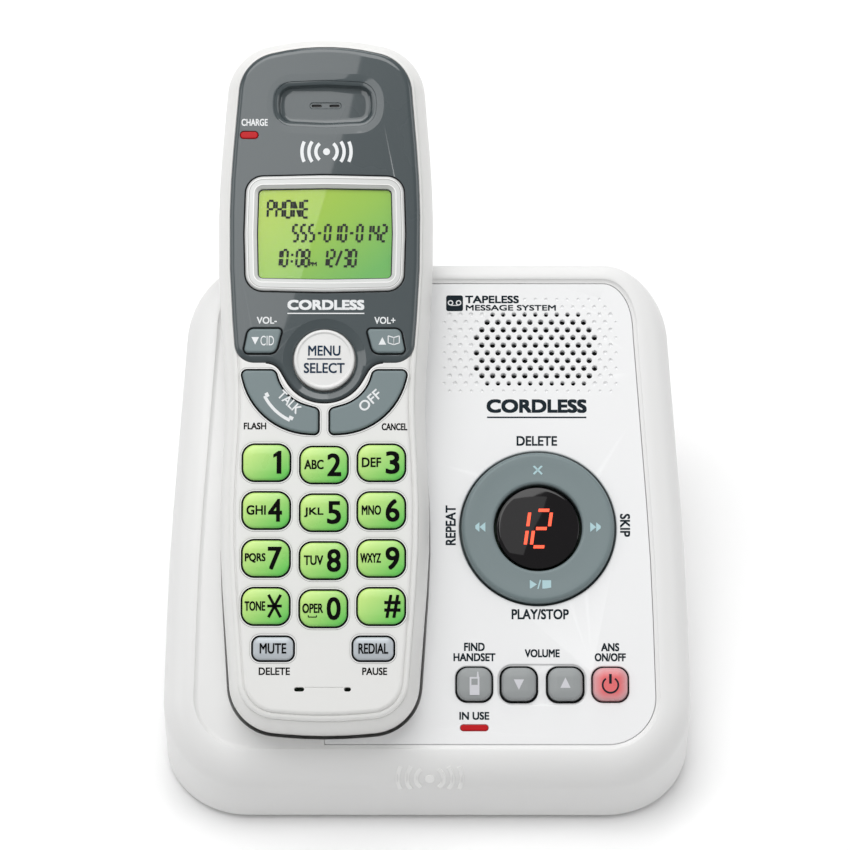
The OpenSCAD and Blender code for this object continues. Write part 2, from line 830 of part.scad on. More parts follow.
module charge_light() {
    color([0.85, 0.08, 0.1])
        on_handset()
            translate([charge_x, charge_l, 0]) {
                plate(rounded(box_corners(4, 1.6, 0.78), 20), face_skin_t - 0.2, face_t + 0.25);
                plate(rounded(box_corners(4, 2, 0.78), 20), face_skin_t - 1.2, face_skin_t - 0.1);
            }
}

module charge_strips() {
    color([0.8, 0.8, 0.78])
        on_handset()
            for (side = [-1, 1])
                translate([side * contact_x, contact_l, 0]) {
                    translate([-2, -3.5, 0.1]) cube([4, 7, 0.5]);
                    translate([-1, 1.1, 0.5]) cube([2, 1, 4.7]);
                }
}

module battery_pack() {
    color([0.15, 0.35, 0.6])
        on_handset() {
            for (side = [-1, 1])
                translate([side * 5.35, bay_low_l + 2, 7.3]) rotate([-90, 0, 0]) {
                    cylinder(r = 5.2, h = 43.5, $fn = 48);
                    cylinder(r = 1.9, h = 44.4, $fn = 32);
                }
            // Shrink-wrap bridge that joins the two cells.
            translate([-5.3, bay_low_l + 4, 4.6]) cube([10.6, 39, 5.4]);
        }
}

module battery_connector() {
    color([0.9, 0.9, 0.88])
        on_handset() {
            translate([-4, bay_high_l - 3.2, 8]) cube([8, 3, 4.7]);
            for (side = [-1, 1])
                translate([side * 1.5, bay_high_l - 3.4, 6]) cylinder(r = 0.5, h = 2.1, $fn = 16);
        }
}

module handset_antenna() {
    color([0.8, 0.65, 0.3])
        on_handset() {
            translate([-9, 149.6, pcb_t + 0.05]) cube([0.6, 0.6, 1.6]);
            translate([-9, 149.6, pcb_t + 1.15]) cube([18, 0.6, 0.5]);
        }
}

module handset_screws() {
    color([0.65, 0.65, 0.67])
        on_handset()
            for (side = [-1, 1])
                translate([side * screw_x, screw_l, 0])
                    difference() {
                        union() {
                            translate([0, 0, 5.5]) cylinder(r = 2.4, h = 1.05, $fn = 32);
                            translate([0, 0, 6.5]) cylinder(r = 1, h = 9.5, $fn = 24);
                        }
                        for (q = [0, 90])
                            rotate(q) translate([-1.4, -0.25, 5]) cube([2.8, 0.5, 1]);
                    }
}

module battery_door() {
    color([0.9, 0.9, 0.88])
        on_handset()
            difference() {
                union() {
                    plate(rounded([[-door_half, door_low_l, 1], [door_half, door_low_l, 1], [door_half, door_high_l, 2], [-door_half, door_high_l, 2]], 15), 0, door_thick);
                    for (side = [-1, 1], l = [bay_low_l + 7, bay_high_l - 12])
                        translate([side * 11.2 - 0.6, l, door_thick - 0.1]) cube([1.2, 4, 1.3]);
                }
                for (k = [0 : 4])
                    translate([-6, door_low_l + 5 + 2.2 * k, -1]) cube([12, 1.1, 1.5]);
            }
}

flange_rim = 0.25;

// A handset key: a cap in its hole, and a flange behind the front shell.
module handset_key(hole, rise) {
    plate_inset(hole, key_gap, flange_low, face_t + rise - 0.35);
    plate_inset(hole, key_gap + 0.4, face_t + rise - 0.36, face_t + rise);
    plate_inset(hole, -flange_rim, flange_low, flange_low + 0.9);
}

key_green = [0.62, 0.85, 0.47];
key_slate = [0.42, 0.49, 0.5];

module number_key(column, row) {
    color(key_green)
        on_handset()
            translate([key_x(column), key_l(column, row), 0]) handset_key(number_hole, 0.9);
}

module soft_key(side) {
    color([0.72, 0.76, 0.79])
        on_handset()
            translate([side * soft_x, soft_l, 0]) handset_key(soft_hole, 0.7);
}

module slate_key(hole, rise) {
    color(key_slate)
        on_handset()
            handset_key(hole, rise);
}

module key_menu() {
    color([0.82, 0.82, 0.81])
        on_handset()
            translate([0, menu_l, 0]) {
                translate([0, 0, flange_low]) cylinder(r = 6.8, h = face_t + 0.8 - flange_low, $fn = 64);
                translate([0, 0, face_t + 0.8]) cylinder(r1 = 6.8, r2 = 6.2, h = 0.5, $fn = 64);
                translate([0, 0, flange_low]) cylinder(r = 7.8, h = 0.9, $fn = 64);
            }
}

base_housing();
base_faceplate();
base_bottom_cover();
rubber_feet();
base_screws();
base_circuit_board();
base_key_mat();
base_speaker();
speaker_felt();
message_window();
led_display();
in_use_light();
line_jack();
power_inlet();
base_antenna();
charge_contact(-contact_x);  // charge_contact_left
charge_contact(contact_x);  // charge_contact_right
nav_ring();
nav_ring_rocker();
base_key(find_x, key_slate);  // base_key_find
base_key(down_x, key_slate);  // base_key_volume_down
base_key(up_x, key_slate);  // base_key_volume_up
base_key(answer_x, [0.9, 0.45, 0.45]);  // base_key_answer
handset_front_shell();
handset_rear_shell();
handset_bezel();
lcd_frame();
lcd_window();
lcd_module();
handset_circuit_board();
handset_key_mat();
earpiece_speaker();
microphone();
charge_light();
charge_strips();
battery_pack();
battery_connector();
handset_antenna();
handset_screws();
battery_door();
number_key(0, 0);  // key_1
number_key(1, 0);  // key_2
number_key(2, 0);  // key_3
number_key(0, 1);  // key_4
number_key(1, 1);  // key_5
number_key(2, 1);  // key_6
number_key(0, 2);  // key_7
number_key(1, 2);  // key_8
number_key(2, 2);  // key_9
number_key(0, 3);  // key_star
number_key(1, 3);  // key_0
number_key(2, 3);  // key_hash
key_menu();
slate_key(talk_hole, 0.7);  // key_talk
slate_key(off_hole, 0.7);  // key_off
slate_key(volume_down_hole, 0.8);  // key_volume_down
slate_key(volume_up_hole, 0.8);  // key_volume_up
soft_key(-1);  // key_mute
soft_key(1);  // key_redial
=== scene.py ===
"""Looks of a cordless telephone that lies in its answering-machine base, built round the CAD frame."""

import math

import bpy
import numpy as np
from mathutils import Matrix, Vector


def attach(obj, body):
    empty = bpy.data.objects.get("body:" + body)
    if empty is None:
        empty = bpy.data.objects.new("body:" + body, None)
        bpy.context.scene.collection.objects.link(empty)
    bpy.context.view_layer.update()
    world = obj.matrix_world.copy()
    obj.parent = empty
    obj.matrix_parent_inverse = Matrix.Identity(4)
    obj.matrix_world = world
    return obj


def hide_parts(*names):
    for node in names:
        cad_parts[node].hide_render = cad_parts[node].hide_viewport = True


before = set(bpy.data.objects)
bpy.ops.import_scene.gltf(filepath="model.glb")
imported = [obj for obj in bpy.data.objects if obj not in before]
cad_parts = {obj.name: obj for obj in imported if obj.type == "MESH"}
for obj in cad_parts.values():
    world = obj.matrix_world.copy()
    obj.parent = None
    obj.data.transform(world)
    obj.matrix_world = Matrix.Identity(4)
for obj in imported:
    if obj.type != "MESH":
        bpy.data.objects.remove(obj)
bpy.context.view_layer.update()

# ---- Sizes of the CAD model, in millimetres and degrees ----

MM = 0.001
BASE_WIDTH, BASE_DEPTH = 120, 109.7
FACE_TILT, FACE_HEIGHT = 24, 21.5
FRONT_ROUND, SIDE_ROUND, BACK_ROUND = 8.8, 6.5, 3.2
HANDSET_X, HANDSET_S, HANDSET_SINK, HANDSET_LEAN = -23, 1.7, 11.5, 4
THICK, HEAD_SLIM, SLIM_FROM, LENGTH = 26, 5.5, 88, 158.1
WIDEST_T, BACK_INSET, SEAM_T, SEAM_INSET = 12, 8.5, 23, 2.3
CREASE_BAND, FACE_DROP, FACEPLATE_THICK = 1.5, 0.6, 2.2
PLATE_TOP = -FACE_DROP
PLATE_LOW = PLATE_TOP - FACEPLATE_THICK
SKIN_DROP = 4.2
WALL = 2.4
POCKET_GROW, BED_GAP, BED_WALL = 0.75, 0.3, 2
FLANGE_LOW = THICK - 3
FRONT_Y = -BASE_DEPTH / 2
FACE_Y = FRONT_Y + 7.4

RING_X, RING_S, RING_HOLE = 25.05, 48.5, 17.8
BASE_KEYS_S, IN_USE_S = 12.8, 3
BASE_KEY_X = {"find": 10.6, "volume_down": 20.6, "volume_up": 31.05, "answer": 41.15}
KEY_PITCH_X, KEY_PITCH_L, KEY_ROW_L = 12.8, 10.7, 60
SIDE_WALL_IN, FLANGE_RIM = 3.5, 0.25
MENU_L, LCD_L, EAR_L = 83.1, 111.8, 141.5
SCREW_X, SCREW_L = 15.5, 128.5
CONTACT_X = 9
CHARGE_X, CHARGE_L = -17.1, 134.3
SOFT_X, SOFT_L = 11.1, 18.5
GRILLE_X, GRILLE_TOP, HOLE_PITCH, ROW_PITCH = 24.7, 98.2, 2.45, 1.79
GRILLE_ROWS = [9, 10, 11, 12, 11, 12, 11, 12, 11, 10]
JACK_Z, LINE_JACK_X, POWER_X = 14, 18, 37


def tilted(degrees):
    return Matrix.Rotation(math.radians(degrees), 4, "X")


# Local frames: x across, y along, z out of the surface.
ROW = Matrix.Identity(4)
FACE = Matrix.Translation((0, FACE_Y, FACE_HEIGHT)) @ tilted(FACE_TILT)
HAND = FACE @ Matrix.Translation((HANDSET_X, HANDSET_S, -HANDSET_SINK)) @ tilted(HANDSET_LEAN)


def at(frame_matrix, x, y, z=0):
    return frame_matrix @ Matrix.Translation((x, y, z))


LCD_PLACE, EAR_PLACE, MENU_PLACE = [at(HAND, 0, along) for along in (LCD_L, EAR_L, MENU_L)]
CHARGE_PLACE = at(HAND, CHARGE_X, CHARGE_L)
RING_PLACE = at(FACE, RING_X, RING_S)


# ---- Outlines: rows of x, y, normal x, normal y, counterclockwise ----

def rounded(corners, step=4.0):
    """A polygon of corners [x, y, radius], with each corner turned into an arc."""
    points = [np.array(c[:2], float) for c in corners]
    rows = []
    for i, corner in enumerate(points):
        d = corner - points[i - 1]
        e = points[(i + 1) % len(points)] - corner
        d /= np.linalg.norm(d)
        e /= np.linalg.norm(e)
        side = 1 if d[0] * e[1] - d[1] * e[0] > 0 else -1
        bend = math.acos(min(1, float(d @ e)))
        r = corners[i][2]
        out = np.array([d[1], -d[0]])
        centre = corner - d * r * math.tan(bend / 2) - out * r * side
        count = max(2, math.ceil(math.degrees(bend) / step))
        for k in range(count + 1):
            q = side * bend * k / count
            w = np.array([out[0] * math.cos(q) - out[1] * math.sin(q),
                          out[0] * math.sin(q) + out[1] * math.cos(q)])
            rows.append([*(centre + w * r * side), *w])
    return np.array(rows)


def subdivided(outline, longest=3.0):
    """The outline with its straight runs cut into pieces no longer than longest."""
    rows = []
    for a, b in zip(outline, np.roll(outline, -1, axis=0)):
        count = max(1, math.ceil(np.linalg.norm(b[:2] - a[:2]) / longest))
        for k in range(count):
            row = a + (b - a) * k / count
            row[2:] /= np.linalg.norm(row[2:])
            rows.append(row)
    return np.array(rows)


def with_normals(points):
    """Adds outward normals to a closed list of x, y points."""
    points = np.array(points, float)
    along = np.roll(points, -1, axis=0) - np.roll(points, 1, axis=0)
    along /= np.linalg.norm(along, axis=1)[:, None]
    return np.column_stack([points, along[:, 1], -along[:, 0]])


def flipped(corners):
    return [[-x, y, r] for x, y, r in reversed(corners)]


def box_corners(w, h, r):
    return [[-w / 2, -h / 2, r], [w / 2, -h / 2, r], [w / 2, h / 2, r], [-w / 2, h / 2, r]]


def bowed_corners(w, h, bow, r):
    return [[0, -h / 2 - bow, 3 * h], [w / 2, -h / 2, r], [w / 2 + bow, 0, h], [w / 2, h / 2, r],
            [0, h / 2 + bow, 3 * h], [-w / 2, h / 2, r], [-w / 2 - bow, 0, h], [-w / 2, -h / 2, r]]


def circle(r, steps=96):
    turns = np.linspace(0, 2 * math.pi, steps, endpoint=False)
    unit = np.column_stack([np.cos(turns), np.sin(turns)])
    return np.column_stack([unit * r, unit])


def ring(outline, by, z):
    """The outline moved in by `by`, as 3-D points at height z."""
    flat = outline[:, :2] - outline[:, 2:] * by
    return np.column_stack([flat, np.full(len(flat), float(z))])


def edge(by, z, r, steps=5):
    """Levels [inset, z] of a quarter round of radius r that ends at z, from inset by."""
    turns = np.linspace(0, math.pi / 2, steps + 1)
    return [[by + r * (1 - math.cos(q)), z - r * (1 - math.sin(q))] for q in turns]


# ---- Meshes ----

def piece_from(name, points, faces, place=ROW):
    mesh = bpy.data.meshes.new(name)
    world = [(place @ Vector(p)) * MM for p in points]
    mesh.from_pydata(world, [], faces)
    mesh.validate()
    obj = bpy.data.objects.new(name, mesh)
    bpy.context.scene.collection.objects.link(obj)
    return obj


def loft(name, rings, place=ROW):
    """A closed solid through rings of equal length."""
    n = len(rings[0])
    faces = [list(range(n))[::-1], [(len(rings) - 1) * n + i for i in range(n)]]
    for r in range(len(rings) - 1):
        for i in range(n):
            j = (i + 1) % n
            faces.append([r * n + i, r * n + j, (r + 1) * n + j, (r + 1) * n + i])
    return piece_from(name, [p for level in rings for p in level], faces, place)


def plate(name, outline, levels, place=ROW):
    """A solid whose outline is inset and raised by each of the levels [inset, z]."""
    return loft(name, [ring(outline, by, z) for by, z in levels], place)


def joined(name, parts):
    """One object from several."""
    points, faces = [], []
    for part in parts:
        start = len(points)
        points += [v.co / MM for v in part.data.vertices]
        faces += [[start + i for i in f.vertices] for f in part.data.polygons]
        bpy.data.objects.remove(part)
    return piece_from(name, points, faces)


def combine(obj, tool, operation="DIFFERENCE"):
    """obj becomes its union, difference or intersection with tool, which is used up."""
    modifier = obj.modifiers.new("combine", "BOOLEAN")
    modifier.operation = operation
    modifier.object = tool
    modifier.solver = "MANIFOLD"
    bpy.context.view_layer.update()
    result = bpy.data.meshes.new_from_object(obj.evaluated_get(bpy.context.evaluated_depsgraph_get()))
    obj.modifiers.clear()
    obj.data = result
    bpy.data.objects.remove(tool)
    return obj


def dress(obj, body, material, slot, *nodes, angle=32):
    """Shades obj smoothly up to angle, gives it its material and body, and stands it in for nodes."""
    obj.data.shade_smooth()
    obj.data.set_sharp_from_angle(angle=math.radians(angle))
    weighted = obj.modifiers.new("weighted_normals", "WEIGHTED_NORMAL")
    weighted.keep_sharp = True
    weighted.weight = 100
    obj.data.materials.clear()
    obj.data.materials.append(material)
    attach(obj, body)
    if nodes:
        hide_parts(*nodes)
    return obj


# ---- Materials ----

def node_material(name):
    material = bpy.data.materials.new(name)
    material.use_nodes = True
    return material, material.node_tree.nodes, material.node_tree.links


def settle(node, **sockets):
    """Sets a node's sockets, each named with _ for its spaces."""
    for socket, value in sockets.items():
        node.inputs[socket.replace("_", " ")].default_value = value


def grain(nodes, links, scale, detail=3.0):
    coords = nodes.new("ShaderNodeTexCoord")
    noise = nodes.new("ShaderNodeTexNoise")
    settle(noise, Scale=scale, Detail=detail)
    links.new(coords.outputs["Object"], noise.inputs["Vector"])
    return noise.outputs["Fac"]


def spread(nodes, links, value, low, high):
    """value's range from 0.3 to 0.7 spread over low to high."""
    span = nodes.new("ShaderNodeMapRange")
    settle(span, From_Min=0.3, From_Max=0.7, To_Min=low, To_Max=high)
    links.new(value, span.inputs["Value"])
    return span.outputs["Result"]


def blended(nodes, links, factor, a, b):
    mix = nodes.new("ShaderNodeMix")
    mix.data_type = "RGBA"
    settle(mix, A=(*a, 1), B=(*b, 1))
    links.new(factor, mix.inputs["Factor"])
    return mix.outputs["Result"]


BUMP_DEPTH = 0.00002


def bumped(nodes, links, height, strength):
    """Roughens the shader's surface by height."""
    bump = nodes.new("ShaderNodeBump")
    settle(bump, Strength=strength, Distance=BUMP_DEPTH)
    links.new(height, bump.inputs["Height"])
    links.new(bump.outputs["Normal"], nodes["Principled BSDF"].inputs["Normal"])


def plastic(name, colour, roughness=0.35, texture=0.02, grain_scale=2600, shift=0.03, coat=0.0, **sockets):
    """Moulded plastic: fine grain in its surface, and slight cloudiness in its colour and gloss."""
    material, nodes, links = node_material(name)
    shader = nodes["Principled BSDF"]
    cloud = grain(nodes, links, 45, 4)
    fine = grain(nodes, links, grain_scale, 2)
    darker = [c * (1 - shift) for c in colour]
    links.new(blended(nodes, links, cloud, darker, colour), shader.inputs["Base Color"])
    links.new(spread(nodes, links, cloud, roughness - 0.04, roughness + 0.05), shader.inputs["Roughness"])
    bumped(nodes, links, fine, texture * 10)
    settle(shader, Coat_Weight=coat, Coat_Roughness=0.04)
    settle(shader, **sockets)
    return material


def lit_key(name, corner, middle, far_corner, glow, roughness=0.3, **sockets):
    """Translucent key whose colour runs from one corner to the other as painted light and shade, with a faint
    painted glow as if lit from behind.
    """
    material, nodes, links = node_material(name)
    shader = nodes["Principled BSDF"]
    place = nodes.new("ShaderNodeAttribute")
    place.attribute_name = "across"
    ramp = nodes.new("ShaderNodeValToRGB")
    ramp.color_ramp.elements[0].color = (*corner, 1)
    ramp.color_ramp.elements[0].position = 0.12
    ramp.color_ramp.elements[1].color = (*far_corner, 1)
    ramp.color_ramp.elements[1].position = 0.92
    mid = ramp.color_ramp.elements.new(0.5)
    mid.color = (*middle, 1)
    links.new(place.outputs["Fac"], ramp.inputs["Fac"])
    links.new(ramp.outputs["Color"], shader.inputs["Base Color"])
    links.new(ramp.outputs["Color"], shader.inputs["Emission Color"])
    settle(shader, Emission_Strength=glow, **sockets)
    cloud = grain(nodes, links, 300, 3)
    links.new(spread(nodes, links, cloud, roughness - 0.05, roughness + 0.05), shader.inputs["Roughness"])
    bumped(nodes, links, grain(nodes, links, 2200, 2), 0.15)
    return material


def ink(name, colour, roughness=0.45, shift=0.05, **sockets):
    """Even, matte print."""
    return plastic(name, colour, roughness, texture=0.01, shift=shift, **sockets)


def metal(name, colour, roughness):
    """Plated metal with fine drawing lines."""
    material, nodes, links = node_material(name)
    shader = nodes["Principled BSDF"]
    settle(shader, Metallic=1.0)
    lines = grain(nodes, links, 900, 2)
    links.new(blended(nodes, links, lines, [c * 0.85 for c in colour], colour), shader.inputs["Base Color"])
    links.new(spread(nodes, links, lines, roughness - 0.06, roughness + 0.08), shader.inputs["Roughness"])
    return material


WHITE = plastic("white_base_plastic", (0.80, 0.80, 0.795), 0.42, texture=0.03, shift=0.015)
PANEL = plastic("white_panel_plastic", (0.86, 0.865, 0.87), 0.45, texture=0.04, shift=0.012)
HANDSET_WHITE = plastic("white_handset_plastic", (0.80, 0.80, 0.785), 0.36, texture=0.02, shift=0.015)
BEZEL = plastic("slate_bezel_gloss", (0.055, 0.072, 0.078), 0.3, texture=0.004, shift=0.06, coat=1.0,
                Specular_IOR_Level=0.2)
SLATE = plastic("slate_key_rubber", (0.172, 0.222, 0.23), 0.48, texture=0.03, shift=0.04)
GREY_KEY = plastic("grey_key_rubber", (0.30, 0.317, 0.32), 0.45, texture=0.03, shift=0.04)
SILVER = plastic("silver_key_paint", (0.50, 0.54, 0.575), 0.34, texture=0.03, shift=0.03, Metallic=0.15)
PEARL = plastic("pearl_button", (0.78, 0.78, 0.77), 0.32, texture=0.02, shift=0.04)
LCD_SILVER = plastic("silver_frame_paint", (0.61, 0.62, 0.61), 0.36, texture=0.03, shift=0.03, Metallic=0.1)
RED_LENS = plastic("red_lens", (0.46, 0.006, 0.01), 0.3, texture=0.005, shift=0.1, Specular_IOR_Level=0.15,
                   Emission_Color=(0.6, 0.01, 0.01, 1), Emission_Strength=0.1)
# Green keys and screen: painted light and shade, lighter at the upper left corner and darker at the lower
# right. Red key: redder in the middle, paler at its rim. All three have a faint painted glow.
GREEN_KEYS = lit_key("green_lit_keys", (0.50, 0.72, 0.20), (0.33, 0.62, 0.16), (0.12, 0.52, 0.09), 0.13)
RED_KEY = lit_key("red_lit_key", (0.70, 0.06, 0.06), (0.68, 0.14, 0.15), (0.58, 0.36, 0.38), 0.1)
LCD_GREEN = lit_key("lcd_panel", (0.36, 0.52, 0.03), (0.27, 0.49, 0.05), (0.13, 0.42, 0.09), 0.12, 0.5,
                    Specular_IOR_Level=0.1, Coat_Weight=1.0, Coat_Roughness=0.02)
SMOKED = plastic("smoked_window", (0.004, 0.003, 0.004), 0.04, texture=0.0, shift=0.2,
                 Specular_IOR_Level=0.35)
LED_BODY = plastic("led_display_body", (0.01, 0.006, 0.006), 0.5, texture=0.03, shift=0.2)
BLACK = plastic("black_plastic", (0.018, 0.018, 0.02), 0.4, texture=0.04, shift=0.2)
FELT = plastic("black_felt", (0.008, 0.008, 0.008), 0.85, texture=0.3, grain_scale=1500, shift=0.4)
FOOT_RUBBER = plastic("foot_rubber", (0.03, 0.03, 0.032), 0.7, texture=0.12, grain_scale=1200, shift=0.2)
MAT_RUBBER = plastic("key_mat_rubber", (0.45, 0.48, 0.45), 0.6, texture=0.06, grain_scale=1200, shift=0.08)
BOARD = plastic("circuit_board_mask", (0.015, 0.13, 0.045), 0.35, texture=0.05, grain_scale=500, shift=0.4)
WRAP = plastic("battery_wrap", (0.02, 0.09, 0.30), 0.3, texture=0.05, grain_scale=300, shift=0.2)
CONNECTOR = plastic("connector_plastic", (0.7, 0.7, 0.66), 0.4, texture=0.03, shift=0.05)
STEEL = metal("zinc_plated_steel", (0.62, 0.62, 0.64), 0.32)
GOLD = metal("plated_contact_metal", (0.78, 0.66, 0.40), 0.28)
INK = ink("dark_print", (0.004, 0.013, 0.02), 0.6, shift=0.1, Specular_IOR_Level=0.15)
BLACK_INK = ink("black_print", (0.002, 0.002, 0.002), 0.6, shift=0.2, Specular_IOR_Level=0.05)
BLUE_INK = ink("blue_print", (0.006, 0.026, 0.06), 0.6, shift=0.1, Specular_IOR_Level=0.15)
PALE_INK = ink("pale_print", (0.80, 0.82, 0.83), shift=0.04)
ICE_INK = ink("pale_blue_print", (0.42, 0.62, 0.66), shift=0.05)
GREY_INK = ink("pale_grey_print", (0.62, 0.62, 0.66), shift=0.05)
# Painted shade: dark bands laid over the gaps round the keys, the screen and the bezel seam.
GAP = ink("shaded_gap", (0.006, 0.007, 0.008), 0.7, shift=0.2, Specular_IOR_Level=0.1)
# Painted highlight along lit lips and edges, paler than the plastic under it; the front emblem takes the same
# pale colour.
PALE_EMBLEM_AND_EDGE_HIGHLIGHT = ink("pale_lip", (0.90, 0.90, 0.89), 0.3, shift=0.02)
# Painted shade: thin grey lines beside the lit lips of the key holes and along the screen frame.
PAINTED_EDGE_SHADE = ink("seam_shade", (0.36, 0.36, 0.35), 0.5, shift=0.05)
LED_RED = ink("led_segments", (0.9, 0.08, 0.03), 0.4, Emission_Color=(1.0, 0.07, 0.02, 1),
              Emission_Strength=1.0)


# ---- Base ----

BACK_CORNER = BASE_WIDTH / 2 - 6
WALL_OUTLINE = subdivided(rounded([
    [BASE_WIDTH / 2, FRONT_Y, 19], [BASE_WIDTH / 2 - 1.3, FRONT_Y + 48, 500],
    [BACK_CORNER, -FRONT_Y, 15], [-BACK_CORNER, -FRONT_Y, 15],
    [-BASE_WIDTH / 2 + 1.3, FRONT_Y + 48, 500], [-BASE_WIDTH / 2, FRONT_Y, 19],
], 3), 4)
FACE_NORMAL = np.array([0, -math.sin(math.radians(FACE_TILT)), math.cos(math.radians(FACE_TILT))])


def rim_ring(inward, drop, share):
    """Ring of the rounded rim: share 0 is on the wall, 1 is on the control face."""
    points = []
    for x, y, wx, wy in WALL_OUTLINE:
        end_round = FRONT_ROUND if wy < 0 else BACK_ROUND
        r = max(SIDE_ROUND + wy * wy * (end_round - SIDE_ROUND) - inward, 1)
        c = np.array([x, y]) - np.array([wx, wy]) * (inward + r)
        w = np.array([wx, wy, 0])
        gap = math.acos(float(w @ FACE_NORMAL))
        v = (math.sin((1 - share) * gap) * w + math.sin(share * gap) * FACE_NORMAL) / math.sin(gap)
        height = FACE_HEIGHT + (c[1] - FACE_Y) * math.tan(math.radians(FACE_TILT))
        z = height - (drop + r) / math.cos(math.radians(FACE_TILT))
        points.append(np.array([c[0], c[1], z]) + r * v)
    return np.array(points)


def pillow(name, inward, drop, low, steps=14):
    """The base's outer form, or one inside it by inward at the walls and by drop at the face."""
    rings = [ring(WALL_OUTLINE, inward + by, low + z) for by,
             z in ([0.8, 0], [0.35, 0.15], [0.08, 0.45], [0, 0.8])]
    rings += [rim_ring(inward, drop, k / steps) for k in range(steps + 1)]
    return loft(name, rings)


CREASE = with_normals([[x, (y - FACE_Y) / math.cos(math.radians(FACE_TILT))] for x, y,
                       _ in rim_ring(0, 0, 1)])

HANDSET_RIGHT = [[20.6, 1.6, 11], [23.95, 46, 200], [22.25, 75, 120], [24.45, 104, 250], [24.2, 124, 200],
                 [21.7, 154.4, 12]]
HANDSET_OUTLINE = subdivided(rounded(
    [[0, -0.3, 100]] + HANDSET_RIGHT + [[0, 159.5, 57]] + flipped(HANDSET_RIGHT), 3), 4)


def back_levels(grow, drop, steps):
    turns = np.linspace(0, math.pi / 2, steps + 1)
    return [[BACK_INSET * (1 - math.sin(q)) - grow, WIDEST_T * (1 - math.cos(q)) - drop] for q in turns]


def bed(name, grow, drop, steps=18):
    """Space that the handset needs in the base, open upwards."""
    levels = back_levels(grow, drop, steps) + [[-grow, 32]]
    return plate(name, HANDSET_OUTLINE, levels, HAND)


def box_piece(name, low, high, place=ROW):
    x0, y0, z0 = low
    x1, y1, z1 = high
    level = lambda z: np.array([[x0, y0, z], [x1, y0, z], [x1, y1, z], [x0, y1, z]], float)
    return loft(name, [level(z0), level(z1)], place)


def base_housing():
    shell = pillow("base_housing_shell", 0, 0, 1)
    combine(shell, pillow("inner", WALL, SKIN_DROP, -2, 8))
    tray = combine(pillow("tray", 0, 0, 1), bed("tray_outside", POCKET_GROW + BED_WALL, BED_GAP + BED_WALL),
                   "INTERSECT")
    combine(shell, tray, "UNION")
    # Recess of the whole face: a pale step, then the seat of the faceplate.
    recess = plate("recess", CREASE, [[CREASE_BAND, PLATE_TOP], [CREASE_BAND - 0.35, PLATE_TOP + 0.05],
                                      [CREASE_BAND - 0.8, PLATE_TOP + 0.3], [0.55, -0.06], [0.2, 0],
                                      [-1, 0.5]], FACE)
    combine(shell, recess)
    right = box_piece("right", (HANDSET_X, -20, -20), (100, 130, 20), FACE)
    seat = plate("seat", CREASE, [[CREASE_BAND, PLATE_LOW], [CREASE_BAND, PLATE_TOP + 0.01]], FACE)
    combine(shell, combine(seat, right, "INTERSECT"))
    right = box_piece("right", (HANDSET_X + 2.1, -20, -20), (100, 130, 20), FACE)
    well = plate("well", CREASE, [[CREASE_BAND + 2.1, -8], [CREASE_BAND + 2.1, PLATE_LOW + 0.01]], FACE)
    combine(combine(well, right, "INTERSECT"), bed("tray_outside", POCKET_GROW + BED_WALL,
                                                   BED_GAP + BED_WALL))
    combine(shell, well)
    combine(shell, bed("bed", POCKET_GROW, BED_GAP))
    combine(shell, box_piece("line", (LINE_JACK_X - 6.6, 40, JACK_Z - 6.1),
                             (LINE_JACK_X + 6.6, 60, JACK_Z + 6.1)))
    wall_hole = Matrix.Translation((POWER_X, 40, JACK_Z)) @ tilted(-90)
    combine(shell, plate("power", circle(5.2, 48), [[0, 0], [0, 20]], wall_hole))
    for x in (-CONTACT_X, CONTACT_X):
        combine(shell, box_piece("slot", (x - 1.8, 12, -6), (x + 1.8, 18, 2), HAND))
    dress(shell, "base", WHITE, "white_base", "base_housing")


def dimples():
    """Places [x, s, radius] of the blind dimples round the grille."""
    spots = []
    for row, count in enumerate(GRILLE_ROWS):
        first = (count + 1) / 2
        spots += [[-k, row, 0.34 if k > 8.2 else 0.52] for k in np.arange(first, 8.6)]
        spots += [[k, row, 0.34 if k > 7.2 else 0.52] for k in np.arange(first, 7.6)]
    spots += [[k, len(GRILLE_ROWS), 0.36] for k in range(-8, 8)]
    spots += [[k, -1, 0.42] for k in np.arange(2.5, 7)]
    spots += [[k, -2, 0.36] for k in range(-1, 7)]
    return [[GRILLE_X + k * HOLE_PITCH, GRILLE_TOP - row * ROW_PITCH, r] for k, row, r in spots]


def opening(name, outline, low, top, lip, place, steps=4):
    """Tool that cuts a hole with a rounded lip in a surface at height top."""
    turns = np.linspace(0, math.pi / 2, steps + 1)
    levels = [[0, low]] + [[-lip * (1 - math.cos(q)), top - lip * (1 - math.sin(q))] for q in turns]
    levels.append([-lip - 0.05, top + 0.2])
    return plate(name, outline, levels, place)


BASE_KEY_HOLE = rounded(box_corners(8.5, 8.2, 2.6), 6)
LIGHT_HOLE = rounded(box_corners(6.4, 1.5, 0.74), 10)


